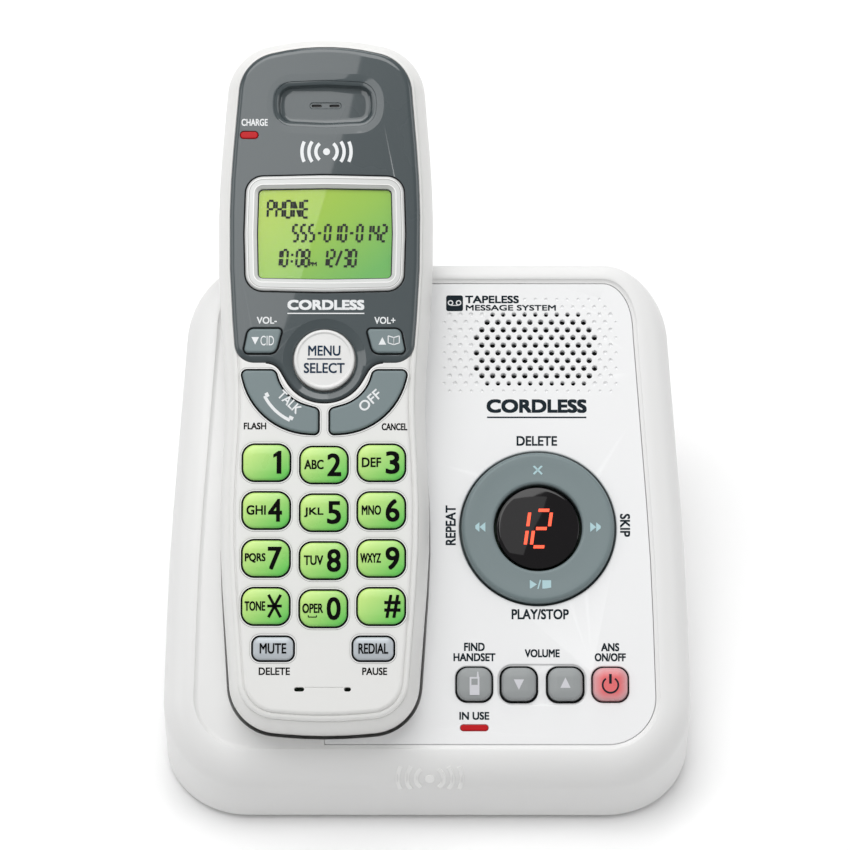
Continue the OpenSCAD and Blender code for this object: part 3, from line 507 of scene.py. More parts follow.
def base_faceplate():
    levels = [[CREASE_BAND + 0.1, PLATE_LOW]] + edge(CREASE_BAND + 0.1, PLATE_TOP, 0.25, 3)
    panel = plate("base_faceplate_panel", CREASE, levels, FACE)
    combine(panel, box_piece("right", (HANDSET_X + 0.1, -20, -20), (100, 130, 20), FACE), "INTERSECT")
    combine(panel, bed("bed", POCKET_GROW, BED_GAP))
    tools = [opening("ring", circle(RING_HOLE, 128), -6, PLATE_TOP, 0.35, RING_PLACE)]
    middle = (BASE_KEY_X["volume_down"] + BASE_KEY_X["volume_up"]) / 2
    dip = opening("dip", rounded(box_corners(19.6, 8.9, 3.1), 6), PLATE_TOP - 0.35, PLATE_TOP, 0.4,
                  at(FACE, middle, BASE_KEYS_S))
    combine(panel, dip)
    for key, x in BASE_KEY_X.items():
        top = PLATE_TOP - (0.35 if "volume" in key else 0)
        tools.append(opening(key, BASE_KEY_HOLE, -6, top, 0.3, at(FACE, x, BASE_KEYS_S)))
    tools.append(opening("light", LIGHT_HOLE, -6, PLATE_TOP, 0.15, at(FACE, BASE_KEY_X["find"], IN_USE_S), 2))
    for row, count in enumerate(GRILLE_ROWS):
        r = 0.5 if row in (0, len(GRILLE_ROWS) - 1) else 0.62
        for k in range(count):
            place = at(FACE, GRILLE_X + (k - (count - 1) / 2) * HOLE_PITCH, GRILLE_TOP - row * ROW_PITCH)
            tools.append(opening("hole", circle(r, 20), -6, PLATE_TOP, 0.16, place, 2))
    for x, s, r in dimples():
        bowl = [[r * (1 - math.cos(q)), PLATE_TOP - r * 0.75 * math.sin(q)] for q in np.linspace(1.4, 0, 5)]
        tools.append(plate("dimple", circle(r, 20), bowl + [[-0.1, PLATE_TOP + 0.2]], at(FACE, x, s)))
    combine(panel, joined("tools", tools))
    dress(panel, "base", PANEL, "white_base", "base_faceplate")


def lathe(name, profile, place, steps=128):
    """A solid of revolution: profile is a closed list of [radius, z]."""
    outline = circle(1, steps)[:, :2]
    n = len(profile)
    points = [[x * r, y * r, z] for x, y in outline for r, z in profile]
    faces = [[i * n + k, ((i + 1) % steps) * n + k, ((i + 1) % steps) * n + (k + 1) % n, i * n + (k + 1) % n]
             for i in range(steps) for k in range(n)]
    return piece_from(name, points, faces, place)


def disc(name, profile, place, steps=96):
    """A solid disc: profile runs from its lower rim to its upper middle, as [radius, z]."""
    outline = circle(1, steps)
    return loft(name, [np.column_stack([outline[:, :2] * r, np.full(steps, z)]) for r, z in profile], place)


def nav_ring():
    turns = np.linspace(0, math.pi / 2, 7)
    outer = [[17.3 - 1.1 * (1 - math.cos(q)), 0 + 1.1 * math.sin(q)] for q in turns]
    inner = [[10 + 0.7 * (1 - math.sin(q)), 0.25 + 0.7 * math.cos(q)] for q in turns]
    crown = [[15, 1.05], [13.5, 0.96], [12, 0.94]]
    profile = [[10, -4.5], [18.6, -4.5], [18.6, -3.6], [17.3, -3.6]] + outer + crown + inner
    dress(lathe("nav_ring_cap", profile, RING_PLACE), "nav_ring", SLATE, "slate_keys", "nav_ring")
    place = RING_PLACE
    dome = [[9.4, -2.2], [9.4, -0.25], [9.32, -0.06], [9.1, 0.05], [8.6, 0.12], [6, 0.2], [3, 0.24],
            [1, 0.25]]
    dress(disc("message_window_lens", dome, place), "base", SMOKED, "smoked_window", "message_window")


def mark_across(obj, place, half_width, half_height, radial=False):
    """Writes each point's share of the way from the key's near upper left to its lower right, which sets
    where the key's painted light and shade fall.
    """
    to_local = (place.inverted() @ Matrix.Scale(1 / MM, 4))
    layer = obj.data.attributes.new("across", "FLOAT", "POINT")
    shares = []
    for v in obj.data.vertices:
        p = to_local @ v.co
        u, w = p.x / half_width, p.y / half_height
        share = math.hypot(u, w) / 1.15 if radial else 0.5 + 0.28 * u - 0.26 * w
        shares.append(min(1, max(0, share)))
    layer.data.foreach_set("value", shares)


def key_cap(name, outline, low, top, place, r=0.7, crown=0.15, reach=1.5):
    levels = [[0, low]] + edge(0, top, r, 6)
    levels += [[r + reach * 0.33, top + crown * 0.5], [r + reach * 0.73, top + crown * 0.85],
               [r + reach, top + crown]]
    return plate(name, outline, levels, place)


def base_keys():
    cap = rounded(box_corners(7.7, 7.4, 2.4), 6)
    for key, x in BASE_KEY_X.items():
        node = "base_key_" + key
        place = at(FACE, x, BASE_KEYS_S)
        top = key_cap(node + "_cap", cap, PLATE_LOW - 1, 0.7, place, 0.8, 0.18)
        flange = plate("flange", BASE_KEY_HOLE, [[-0.7, PLATE_LOW - 1.2], [-0.7, PLATE_LOW - 0.2]], place)
        post = disc("post", [[1.8, -6.3], [1.8, PLATE_LOW]], place, 32)
        combine(combine(top, flange, "UNION"), post, "UNION")
        if key == "answer":
            mark_across(top, place, 4.2, 4.2, radial=True)
            dress(top, node, RED_KEY, "red_key", node)
        else:
            dress(top, node, GREY_KEY, "slate_keys", node)


def in_use_light():
    place = at(FACE, BASE_KEY_X["find"], IN_USE_S)
    lens = plate("in_use_lens", rounded(box_corners(6.2, 1.3, 0.64), 10),
                 [[0, PLATE_LOW - 0.3]] + edge(0, PLATE_TOP + 0.2, 0.2, 3), place)
    dress(lens, "base", RED_LENS, "red_light", "in_use_light")


# ---- Handset ----

def lifted(points):
    """Points whose back follows the slimmer head."""
    points = np.array(points, float)
    share = np.clip((points[:, 1] - SLIM_FROM) / (LENGTH - SLIM_FROM), 0, None)
    points[:, 2] += HEAD_SLIM * share ** 1.6 * (1 - points[:, 2] / SEAM_T)
    return points


def hand_loft(name, levels):
    """A solid through levels [inset, t] of the handset, with its back and front closed by level strips."""
    rings = [lifted(ring(HANDSET_OUTLINE, by, z)) for by, z in levels]
    n = len(HANDSET_OUTLINE)
    half = int(np.argmax(HANDSET_OUTLINE[:, 1]))
    first = int(np.argmin(HANDSET_OUTLINE[:, 1]))
    pairs = []
    i, j = first, first
    while (i - half) % n != 0:
        pairs.append((i % n, j % n))
        i, j = i + 1, j - 1
    pairs.append((half % n, j % n))
    faces = []
    top = (len(rings) - 1) * n
    for (a, b), (c, d) in zip(pairs, pairs[1:]):
        under = [b, d, c, a]
        over = [top + a, top + c, top + d, top + b]
        faces.append([v for k, v in enumerate(under) if v not in under[:k]])
        faces.append([v for k, v in enumerate(over) if v not in over[:k]])
    for r in range(len(rings) - 1):
        for i in range(n):
            k = (i + 1) % n
            faces.append([r * n + i, r * n + k, (r + 1) * n + k, (r + 1) * n + i])
    return piece_from(name, [p for level in rings for p in level], faces, HAND)


def rear_shell():
    side = [[SEAM_INSET * (1 - math.cos(q)) / 0.5,
             WIDEST_T + 2 + (SEAM_T - WIDEST_T - 2) * math.sin(q) / math.sin(math.pi / 3)]
            for q in np.linspace(0.08, math.pi / 3 - 0.03, 9)]
    levels = back_levels(0, 0, 14) + [[0, WIDEST_T + 2]] + side + [[2.35, SEAM_T - 0.02], [2.6, SEAM_T],
                                                                   [3.4, SEAM_T]]
    shell = hand_loft("handset_rear_cover", levels)
    hollow = hand_loft("hollow", [[10.3, 1.8], [7.2, 2.6], [4.3, 4.6], [2.6, 8], [2.1, 12], [2.1, 14.5],
                                  [2.9, 19], [3.6, 22.3], [3.6, 24]])
    combine(shell, hollow)
    combine(shell, box_piece("floor", (-15.2, 10, 0.9), (15.2, 87, 3.3), HAND), "UNION")
    combine(shell, box_piece("bay_wall", (-13.2, 26.8, 2), (13.2, 79.2, 14), HAND), "UNION")
    door = rounded([[-14, 20.8, 0.6], [14, 20.8, 0.6], [14, 84.2, 2.2], [-14, 84.2, 2.2]], 8)
    combine(shell, plate("door_seat", door, [[0, 1.6], [0, 0.25], [-0.2, 0.05], [-0.25, -1]][::-1], HAND))
    combine(shell, box_piece("bay", (-12, 28, 0), (12, 78, 12.8), HAND))
    for side_x in (-SCREW_X, SCREW_X):
        combine(shell, disc("boss", [[3.6, 4], [3.6, 7.9]], at(HAND, side_x, SCREW_L), 40), "UNION")
        combine(shell, disc("screw_hole", [[1.3, -1], [1.3, 12]], at(HAND, side_x, SCREW_L), 32))
        combine(shell, disc("counterbore", [[3.0, -1], [2.9, 0.8], [2.7, 1.4], [2.7, 6.6]],
                            at(HAND, side_x, SCREW_L), 40))
    for side_x in (-CONTACT_X, CONTACT_X):
        combine(shell, box_piece("strip_slot", (side_x - 1.1, 16, 0), (side_x + 1.1, 17.2, 6), HAND))
        combine(shell, box_piece("strip_seat", (side_x - 2.1, 11.4, -1), (side_x + 2.1, 18.6, 0.65), HAND))
    dress(shell, "handset", HANDSET_WHITE, "white_handset", "handset_rear_shell")


NUMBER_HOLE = rounded(box_corners(10.9, 8.5, 2.9), 6)
SOFT_HOLE = rounded(box_corners(9.5, 5.7, 1.9), 6)
TALK_CORNERS = [[-18.9, 81, 1.3], [-15.4, 66.8, 16], [-1.05, 66.2, 1.2], [-1.05, 72.2, 1.4], [-9.1, 74.5, 9],
                [-10.8, 81, 1.6]]
VOLUME_CORNERS = [[-18.4, 84.4, 1.2], [-10.7, 84.4, 2], [-9.1, 90.4, 1], [-17.2, 90.4, 1.8]]
TALK_HOLE, OFF_HOLE = rounded(TALK_CORNERS, 6), rounded(flipped(TALK_CORNERS), 6)
VOLUME_DOWN_HOLE, VOLUME_UP_HOLE = rounded(VOLUME_CORNERS, 6), rounded(flipped(VOLUME_CORNERS), 6)
LCD_FRAME = rounded(bowed_corners(35.4, 26, 0.4, 4), 5)
LCD_WINDOW = rounded(bowed_corners(30, 20.4, 0.25, 1.2), 8)
EAR_DISH = rounded(bowed_corners(21, 8.8, 0.5, 3.4), 6)
BEZEL_RIGHT = [[5.6, 73.6, 9.6], [10.8, 82.6, 4], [19.8, 82.6, 4.5], [21.5, 104, 250], [21.2, 124, 200],
               [18.9, 151.5, 9.5]]
BEZEL_OUTLINE = subdivided(rounded(BEZEL_RIGHT + [[0, 156.1, 50]] + flipped(BEZEL_RIGHT), 4), 4)
NUMBER_KEYS = ["1", "2", "3", "4", "5", "6", "7", "8", "9", "star", "0", "hash"]


def number_place(i):
    column, row = i % 3, i // 3
    return (column - 1) * KEY_PITCH_X, KEY_ROW_L - row * KEY_PITCH_L - (0.5 if column == 1 else 0)


def front_shell():
    side = [[3.0, 22.4], [3.0, SEAM_T + 0.3], [2.6, SEAM_T + 0.34], [2.45, SEAM_T + 0.5]]
    face = [[2.45 + 0.9 * (1 - math.cos(q)), 24.6 + 0.75 * math.sin(q)] for q in np.linspace(0, math.pi / 2,
            6)]
    face += [[3.42, 25.12], [3.6, 25.08], [3.72, 25.2]]
    face += [[3.75 + 0.9 * (1 - math.cos(q)), 25.25 + 0.75 * math.sin(q)] for q in np.linspace(0,
            math.pi / 2, 6)]
    shell = plate("handset_front_cover", HANDSET_OUTLINE, side + face, HAND)
    combine(shell, plate("hollow", HANDSET_OUTLINE, [[SIDE_WALL_IN, 20], [SIDE_WALL_IN, THICK - 1.8]], HAND))
    combine(shell, plate("bezel_seat", BEZEL_OUTLINE, [[-0.1, THICK - 1.1], [-0.1, 30]], HAND))
    tools, halos = [], []
    for i in range(12):
        place = at(HAND, *number_place(i))
        tools.append(opening("number", NUMBER_HOLE, 20, THICK - 0.06, 0.4, place))
        halos.append(plate("halo", NUMBER_HOLE, [[-0.72, THICK - 0.06], [-0.75, THICK + 0.3]], place))
    for side_x in (-SOFT_X, SOFT_X):
        place = at(HAND, side_x, SOFT_L)
        tools.append(opening("soft", SOFT_HOLE, 20, THICK - 0.06, 0.35, place))
        halos.append(plate("halo", SOFT_HOLE, [[-0.66, THICK - 0.06], [-0.68, THICK + 0.3]], place))
    for name, hole in (("talk", TALK_HOLE), ("off", OFF_HOLE)):
        tools.append(opening(name, hole, 20, THICK, 0.3, HAND))
    for hole in (VOLUME_DOWN_HOLE, VOLUME_UP_HOLE):
        tools.append(plate("volume", hole, [[-0.1, 20], [-0.1, 25.5]], HAND))
    tools.append(disc("menu", [[7.3, 20], [7.3, 25.5]], MENU_PLACE, 64))
    tools.append(plate("lcd", LCD_WINDOW, [[-0.7, 20], [-0.7, 25.5]], LCD_PLACE))
    tools.append(plate("ear", EAR_DISH, [[-1, 20], [-1, 25.5]], EAR_PLACE))
    tools.append(plate("light", rounded(box_corners(4.3, 1.9, 0.9), 10), [[0, 20], [0, 25.5]], CHARGE_PLACE))
    for x, w in ((-5.3, 2.2), (5.4, 1.5)):
        tools.append(opening("mic", rounded(box_corners(w, 0.95, 0.46), 15), 20, THICK, 0.15,
                             at(HAND, x, 9.5), 2))
    tools.append(box_piece("groove", (-4, 9.78, THICK - 0.14), (4.5, 10.02, THICK + 1), HAND))
    combine(shell, joined("halos", halos))
    combine(shell, joined("tools", tools))
    for side_x in (-SCREW_X, SCREW_X):
        post = disc("post", [[2.5, 8], [2.5, THICK - 1.7]], at(HAND, side_x, SCREW_L), 40)
        combine(post, disc("bore", [[1.05, 7], [1.05, 19]], at(HAND, side_x, SCREW_L), 32))
        combine(shell, post, "UNION")
    dress(shell, "handset", HANDSET_WHITE, "white_handset", "handset_front_shell")


def bezel():
    levels = [[0, THICK - 1.05], [0, THICK - 0.75]]
    levels += [[1.5 * (1 - math.cos(q)), THICK - 0.75 + 0.85 * math.sin(q)] for q in np.linspace(0.15,
            math.pi / 2, 9)]
    plate_piece = plate("handset_bezel_panel", BEZEL_OUTLINE, levels, HAND)
    cup = plate("cup", EAR_DISH, [[-0.9, THICK - 3], [-0.9, THICK - 0.6]], EAR_PLACE)
    combine(plate_piece, cup, "UNION")
    dish = plate("dish", EAR_DISH, [[1.9, THICK - 2.15], [1.2, THICK - 2.1], [0.75, THICK - 1.85],
                                    [0.5, THICK - 1.3],
                                    [0.3, THICK - 0.6], [-0.1, THICK - 0.35], [-0.5, THICK - 0.3],
                                    [-0.62, THICK - 0.05],
                                    [-1.1, THICK + 0.03], [-2.2, THICK + 0.08], [-2.9, THICK + 0.3]],
                                    EAR_PLACE)
    combine(plate_piece, dish)
    tools = []
    for name, hole in (("volume_down", VOLUME_DOWN_HOLE), ("volume_up", VOLUME_UP_HOLE)):
        tools.append(opening(name, hole, 20, THICK + 0.1, 0.25, HAND))
    cone = [[7.1, 20], [7.1, THICK - 0.5], [7.3, THICK - 0.34], [7.7, THICK - 0.25], [8.5, THICK - 0.1],
            [9.3, THICK + 0.06], [10, THICK + 0.5]]
    tools.append(disc("menu", cone, MENU_PLACE, 96))
    tools.append(opening("lcd", LCD_FRAME, 20, THICK + 0.1, 0.3, LCD_PLACE))
    light = rounded(box_corners(4.2, 1.8, 0.88), 10)
    tools.append(opening("light", light, 20, THICK + 0.1, 0.12, CHARGE_PLACE, 2))
    pill = rounded(box_corners(7.2, 1.5, 0.7), 12)
    combine(plate_piece, plate("pill", pill, [[0.15, THICK - 2.35], [0, THICK - 2.2], [-0.1, THICK - 1.9]],
                               EAR_PLACE))
    for side_x in (-2, 2):
        tools.append(plate("slot", rounded(box_corners(2.3, 0.65, 0.31), 12), [[0, 20], [0, 24.2]],
                           at(HAND, side_x, EAR_L)))
    combine(plate_piece, joined("tools", tools))
    dress(plate_piece, "handset", BEZEL, "slate_bezel", "handset_bezel")


def screen():
    place = LCD_PLACE
    rim = plate("lcd_frame_rim", LCD_FRAME, [[0.1, THICK - 1.05]] + edge(0.1, THICK + 0.65, 0.55, 5), place)
    combine(rim, plate("window", LCD_WINDOW, [[0, 20], [0, THICK + 0.05], [-0.3, THICK + 0.3],
                                              [-0.75, THICK + 0.55], [-1.1, THICK + 0.8]], place))
    dress(rim, "handset", LCD_SILVER, "silver_keys", "lcd_frame")
    panel = plate("lcd_panel", LCD_WINDOW, [[-0.3, THICK - 2], [-0.3, THICK - 0.75]], place)
    box = box_piece("lcd_box", (-16.4, -11.6, 20.45), (16.4, 11.6, THICK - 1.9), place)
    combine(panel, box, "UNION")
    cap = grid("lcd_face", 30.4, 20.8, THICK - 0.72, place)
    mark_across(cap, place, 15, 10.2)
    dress(cap, "handset", LCD_GREEN, "lcd_panel")
    dress(panel, "handset", LCD_GREEN, "lcd_panel", "lcd_module")


def grid(name, width, height, z, place, cells=24):
    """A thin flat slab, finely divided so that a colour can run across it."""
    points, faces = [], []
    for level in (z - 0.02, z):
        for j in range(cells + 1):
            for i in range(cells + 1):
                points.append([width * (i / cells - 0.5), height * (j / cells - 0.5), level])
    row, layer = cells + 1, (cells + 1) ** 2
    for j in range(cells):
        for i in range(cells):
            a = j * row + i
            faces.append([a, a + row, a + row + 1, a + 1])
            faces.append([layer + a, layer + a + 1, layer + a + row + 1, layer + a + row])
    border = [*range(row), *[j * row + cells for j in range(1, row)],
              *[cells * row + i for i in range(cells - 1, -1, -1)],
              *[j * row for j in range(cells - 1, 0, -1)]]
    for a, b in zip(border, border[1:] + border[:1]):
        faces.append([a, b, layer + b, layer + a])
    return piece_from(name, points, faces, place)


def handset_keys():
    cap = rounded(box_corners(10.3, 7.9, 2.6), 6)
    for i, key in enumerate(NUMBER_KEYS):
        place = at(HAND, *number_place(i))
        top = key_cap(f"key_{key}_cap", cap, FLANGE_LOW, THICK + 0.75, place, 0.7, 0.15)
        combine(top, plate("flange", NUMBER_HOLE, [[-FLANGE_RIM, FLANGE_LOW],
                                                   [-FLANGE_RIM, FLANGE_LOW + 0.9]], place), "UNION")
        mark_across(top, place, 5.15, 3.95)
        dress(top, "key_" + key, GREEN_KEYS, "green_keys", "key_" + key)
    soft = rounded(box_corners(8.9, 5.1, 1.6), 6)
    for key, side_x in (("mute", -SOFT_X), ("redial", SOFT_X)):
        place = at(HAND, side_x, SOFT_L)
        top = key_cap(f"key_{key}_cap", soft, FLANGE_LOW, THICK + 0.6, place, 0.6, 0.1, 0.9)
        combine(top, plate("flange", SOFT_HOLE, [[-FLANGE_RIM, FLANGE_LOW], [-FLANGE_RIM, FLANGE_LOW + 0.9]],
                           place), "UNION")
        dress(top, "key_" + key, SILVER, "silver_keys", "key_" + key)
    for key, hole, rise in (("talk", TALK_HOLE, 0.7), ("off", OFF_HOLE, 0.7),
                            ("volume_down", VOLUME_DOWN_HOLE, 0.8), ("volume_up", VOLUME_UP_HOLE, 0.8)):
        levels = [[0.3, FLANGE_LOW]] + edge(0.3, THICK + rise, 0.5, 5)
        top = plate(f"key_{key}_cap", hole, levels, HAND)
        combine(top, plate("flange", hole, [[-FLANGE_RIM, FLANGE_LOW], [-FLANGE_RIM, FLANGE_LOW + 0.9]],
                           HAND), "UNION")
        dress(top, "key_" + key, SLATE, "slate_keys", "key_" + key)
    place = MENU_PLACE
    profile = [[7.8, FLANGE_LOW], [7.8, FLANGE_LOW + 0.9], [6.8, FLANGE_LOW + 0.9], [6.8, 26.6],
               [6.74, 26.85], [6.6, 27.05],
               [6.4, 27.15], [6.2, 27.15], [6.02, 27.06], [5.9, 26.9], [5.75, 26.86], [4, 26.9], [2, 26.93]]
    dress(disc("key_menu_cap", profile, place), "key_menu", PEARL, "silver_keys", "key_menu")


def battery_door():
    outline = rounded([[-13.8, 26, 1], [13.8, 26, 1], [13.8, 84, 2], [-13.8, 84, 2]], 8)
    levels = [[0.3, 0], [0.08, 0.1], [0, 0.3], [0, 1.5]]
    door = plate("battery_door_panel", outline, levels, HAND)
    grips = []
    for k in range(5):
        row = rounded(box_corners(12, 1.1, 0.5), 15)
        grips.append(plate("grip", row, [[0, 0.5], [-0.05, 0.2], [-0.25, -0.1]][::-1],
                           at(HAND, 0, 31.5 + 2.2 * k)))
    combine(door, joined("grips", grips))
    for side_x in (-11.2, 11.2):
        for l in (35, 66):
            combine(door, box_piece("hook", (side_x - 0.6, l, 1.4), (side_x + 0.6, l + 4, 2.7), HAND),
                    "UNION")
    dress(door, "battery_door", HANDSET_WHITE, "white_handset", "battery_door")


def charge_light():
    place = CHARGE_PLACE
    lens = plate("charge_lens", rounded(box_corners(4, 1.6, 0.78), 10),
                 [[0, THICK - 2]] + edge(0, THICK + 0.25, 0.3, 4), place)
    dress(lens, "handset", RED_LENS, "red_light", "charge_light")


# ---- Printing ----

PRINT_RISE = 0.03
prints = {}


def add_print(body, material, slot, place, points, faces):
    """Adds flat artwork, in place's frame, to the body's print of that colour."""
    entry = prints.setdefault((body, slot, material.name), [material, [], []])
    start = len(entry[1])
    entry[1].extend(place @ Vector(p) for p in points)
    entry[2].extend([start + i for i in f] for f in faces)


def letters(text, body, material, slot, place, x, y, z, size, turn=0.0, bold=0.0):
    """Text in the built-in font, stretched to size (width, height) round x, y, and thickened by bold."""
    curve = bpy.data.curves.new("text", "FONT")
    curve.body = text
    curve.extrude = 0.01
    curve.resolution_u = 4
    holder = bpy.data.objects.new("text", curve)
    bpy.context.scene.collection.objects.link(holder)
    bpy.context.view_layer.update()
    mesh = bpy.data.meshes.new_from_object(holder.evaluated_get(bpy.context.evaluated_depsgraph_get()))
    co = np.array([v.co for v in mesh.vertices])
    low, high = co.min(0), co.max(0)
    flat = (co[:, :2] - (low[:2] + high[:2]) / 2) / (high[:2] - low[:2]) * (np.array(size) - 2 * bold)
    faces = [list(p.vertices) for p in mesh.polygons]
    q = math.radians(turn)
    strikes = [(0, 0)] if bold == 0 else [(-1, -1), (1, -1), (1, 1), (-1, 1)]
    for layer, (right, up) in enumerate(strikes):
        u, v = flat[:, 0] + right * bold, flat[:, 1] + up * bold
        across = u * math.cos(q) - v * math.sin(q) + x
        along = u * math.sin(q) + v * math.cos(q) + y
        rise = z + PRINT_RISE + 0.003 * layer
        height = np.where(co[:, 2] > 0, rise, rise - 2 * PRINT_RISE)
        add_print(body, material, slot, place, np.column_stack([across, along, height]), faces)
    bpy.data.objects.remove(holder)
    bpy.data.meshes.remove(mesh)


def shape(corners, body, material, slot, place, z):
    """A flat polygon, counterclockwise, slightly proud of the surface."""
    n = len(corners)
    points = [[*c[:2], z + h] for h in (-PRINT_RISE, PRINT_RISE) for c in corners]
    faces = [list(range(n))[::-1], list(range(n, 2 * n))]
    faces += [[i, (i + 1) % n, n + (i + 1) % n, n + i] for i in range(n)]
    add_print(body, material, slot, place, points, faces)


def arc_band(cx, cy, r, width, start, end, steps=24):
    """Corners of a band of an arc, from start to end degrees, counterclockwise."""
    turns = np.radians(np.linspace(start, end, steps))
    outside = [[cx + (r + width / 2) * math.cos(q), cy + (r + width / 2) * math.sin(q)] for q in turns]
    inside = [[cx + (r - width / 2) * math.cos(q), cy + (r - width / 2) * math.sin(q)] for q in turns[::-1]]
    return outside + inside


def bar(a, b, width):
    """Corners of a bar from a to b."""
    a, b = np.array(a, float), np.array(b, float)
    side = (b - a) / np.linalg.norm(b - a) * width / 2
    side = np.array([side[1], -side[0]])
    return [a + side, b + side, b - side, a - side]


# Strokes of a display character, in a cell one wide and two high.
STROKES = {"a": (0, 2, 1, 2), "b": (1, 2, 1, 1), "c": (1, 1, 1, 0), "d": (0, 0, 1, 0),
           "e": (0, 1, 0, 0), "f": (0, 2, 0, 1), "g": (0, 1, 1, 1), "m": (0.5, 2, 0.5, 1),
           "n": (0.5, 1, 0.5, 0), "x": (0, 2, 0.5, 1), "y": (0.5, 1, 1, 0), "s": (0, 0, 1, 2)}
CHARACTERS = {"0": "abcdef", "1": "bc", "2": "abged", "3": "abgcd", "4": "fgbc", "5": "afgcd",
              "6": "afgedc", "7": "abc", "8": "abcdefg", "9": "abfgcd", "H": "fegbc", "A": "fegbca",
              "N": "febcxy", "D": "abcdef", "S": "afgcd", "P": "abfeg", "O": "abcdef", "E": "afged",
              "T": "amn", "-": "g", "/": "s", " ": ""}


def display(text, body, material, slot, place, x, y, z, cell, pitch, weight, slant=0.0, short=0.35):
    """Display characters from strokes. x, y is the first one's lower left, and cell its (width, height)."""
    for index, character in enumerate(text):
        for stroke in CHARACTERS.get(character, ""):
            ends = np.array(STROKES[stroke], float).reshape(2, 2) * np.array([cell[0], cell[1] / 2])
            along = ends[1] - ends[0]
            along /= np.linalg.norm(along)
            ends = np.array([ends[0] + along * weight * short, ends[1] - along * weight * short])
            corners = [[c[0] + c[1] * slant + x + index * pitch, c[1] + y] for c in bar(*ends, weight)]
            shape(corners, body, material, slot, place, z)
        if character == ":":
            for level in (0.3, 0.7):
                dot = [x + index * pitch + cell[0] / 2 + cell[1] * level * slant, y + cell[1] * level]
                shape(bar((dot[0] - weight / 2, dot[1]), (dot[0] + weight / 2, dot[1]), weight), body,
                      material, slot, place, z)


def signal_emblem(draw, x, y, height, width):
    """Plain radio-wave emblem: a dot between three pairs of arcs, all of the same height."""
    turns = np.linspace(0, 2 * math.pi, 24, endpoint=False)
    draw([[x + 0.17 * height * math.cos(q), y + 0.17 * height * math.sin(q)] for q in turns])
    for k in range(3):
        r = (0.52 + 0.34 * k) * height
        half = math.degrees(math.asin(0.5 * height / max(r, 0.65 * height)))
        for middle in (0, 180):
            draw(arc_band(x, y, r, width, middle - half, middle + half))


def base_printing():
    z = PLATE_TOP
    ink = ("base", INK, "white_base", FACE)
    for text, x, y, w, h, turn in (
        ("DELETE", 24.9, 68.7, 9.2, 2.25, 0), ("PLAY/STOP", 25.5, 28.8, 12.9, 2.35, 0),
        ("REPEAT", 5.3, 49.2, 9.15, 2.3, 90), ("SKIP", 44.8, 49.2, 5.3, 2.3, -90),
        ("FIND", 10.65, 21.35, 4.65, 1.88, 0), ("HANDSET", 10.65, 19.0, 9.45, 1.85, 0),
        ("VOLUME", 25.9, 19.9, 7.85, 1.85, 0), ("ANS", 41.2, 21.3, 4.1, 1.87, 0),
        ("ON/OFF", 41.2, 19.0, 7.0, 1.87, 0), ("IN USE", 10.6, 5.7, 6.7, 1.8, 0),
    ):
        letters(text, *ink, x, y, z, (w, h), turn, bold=0.07)
    letters("CORDLESS", *ink, 24.9, 76.8, z, (22.8, 3.2), bold=0.18)
    shape([[13.6, 74.0], [36.2, 74.0], [36.2, 74.35], [13.6, 74.35]], *ink, z)
    letters("TAPELESS", *ink, 14.8, 101.75, z, (12.3, 1.8), bold=0.08)
    letters("MESSAGE SYSTEM", *ink, 19.1, 99.8, z, (20.6, 1.35), bold=0.05)
    # Cassette: a dark tile with two reels.
    shape(rounded([[4.3, 99, 0.5], [8.15, 99, 0.5], [8.15, 102.7, 0.5], [4.3, 102.7, 0.5]], 20)[:, :2], *ink,
          z)
    pale = ("base", PALE_INK, "white_base", FACE)
    for x in (5.3, 7.15):
        shape(arc_band(x, 100.95, 0.5, 0.26, 0, 355), *pale, z + 0.02)
    shape(bar((5.3, 100.35), (7.15, 100.35), 0.2), *pale, z + 0.02)

    top = 0.97
    ice = ("nav_ring", ICE_INK, "slate_keys", FACE)
    for a, b in (((24.1, 60.7), (26, 62.6)), ((24.1, 62.6), (26, 60.7))):
        shape(bar(a, b, 0.42), *ice, top)
    for k in range(2):
        shape([[10.45 + 1.35 * k, 48.5], [11.8 + 1.35 * k, 47.4], [11.8 + 1.35 * k, 49.6]], *ice, top)
        shape([[38.2 + 1.35 * k, 48.5], [36.85 + 1.35 * k, 49.6], [36.85 + 1.35 * k, 47.4]], *ice, top)
    shape([[23.15, 34.3], [24.75, 35.35], [23.15, 36.4]], *ice, top)
    shape(bar((24.95, 34.3), (25.55, 36.4), 0.3), *ice, top)
    shape([[25.95, 34.4], [27.95, 34.4], [27.95, 36.3], [25.95, 36.3]], *ice, top)

    red = ("base", LED_RED, "led_digits", FACE)
    display("12", *red, 18.6, 44.1, 0.24, (3.5, 8.4), 4.9, 0.72, 0.14, 0.75)

    top = 0.86
    grey = lambda key: ("base_key_" + key, GREY_INK, "slate_keys", at(FACE, BASE_KEY_X[key], BASE_KEYS_S))
    shape([[-1.15, 0.95], [0, -1.4], [1.15, 0.95]], *grey("volume_down"), top)
    shape([[-1.15, -0.95], [1.15, -0.95], [0, 1.4]], *grey("volume_up"), top)
    shape([[-1.05, -2.6], [1.15, -2.6], [1.15, 1.5], [-1.05, 1.5]], *grey("find"), top)
    shape([[0.55, 1.5], [1.05, 1.5], [0.9, 2.7], [0.65, 2.7]], *grey("find"), top)
    dark = ("base_key_find", GREY_KEY, "slate_keys", at(FACE, BASE_KEY_X["find"], BASE_KEYS_S))
    shape([[-0.65, -0.3], [0.75, -0.3], [0.75, 1.1], [-0.65, 1.1]], *dark, top + 0.02)
    answer = ("base_key_answer", INK, "red_key", at(FACE, BASE_KEY_X["answer"], BASE_KEYS_S))
    shape(arc_band(0, -0.3, 1.75, 0.42, 125, 415, 40), *answer, top)
    shape(bar((0, 0), (0, 2.2), 0.6), *answer, top)


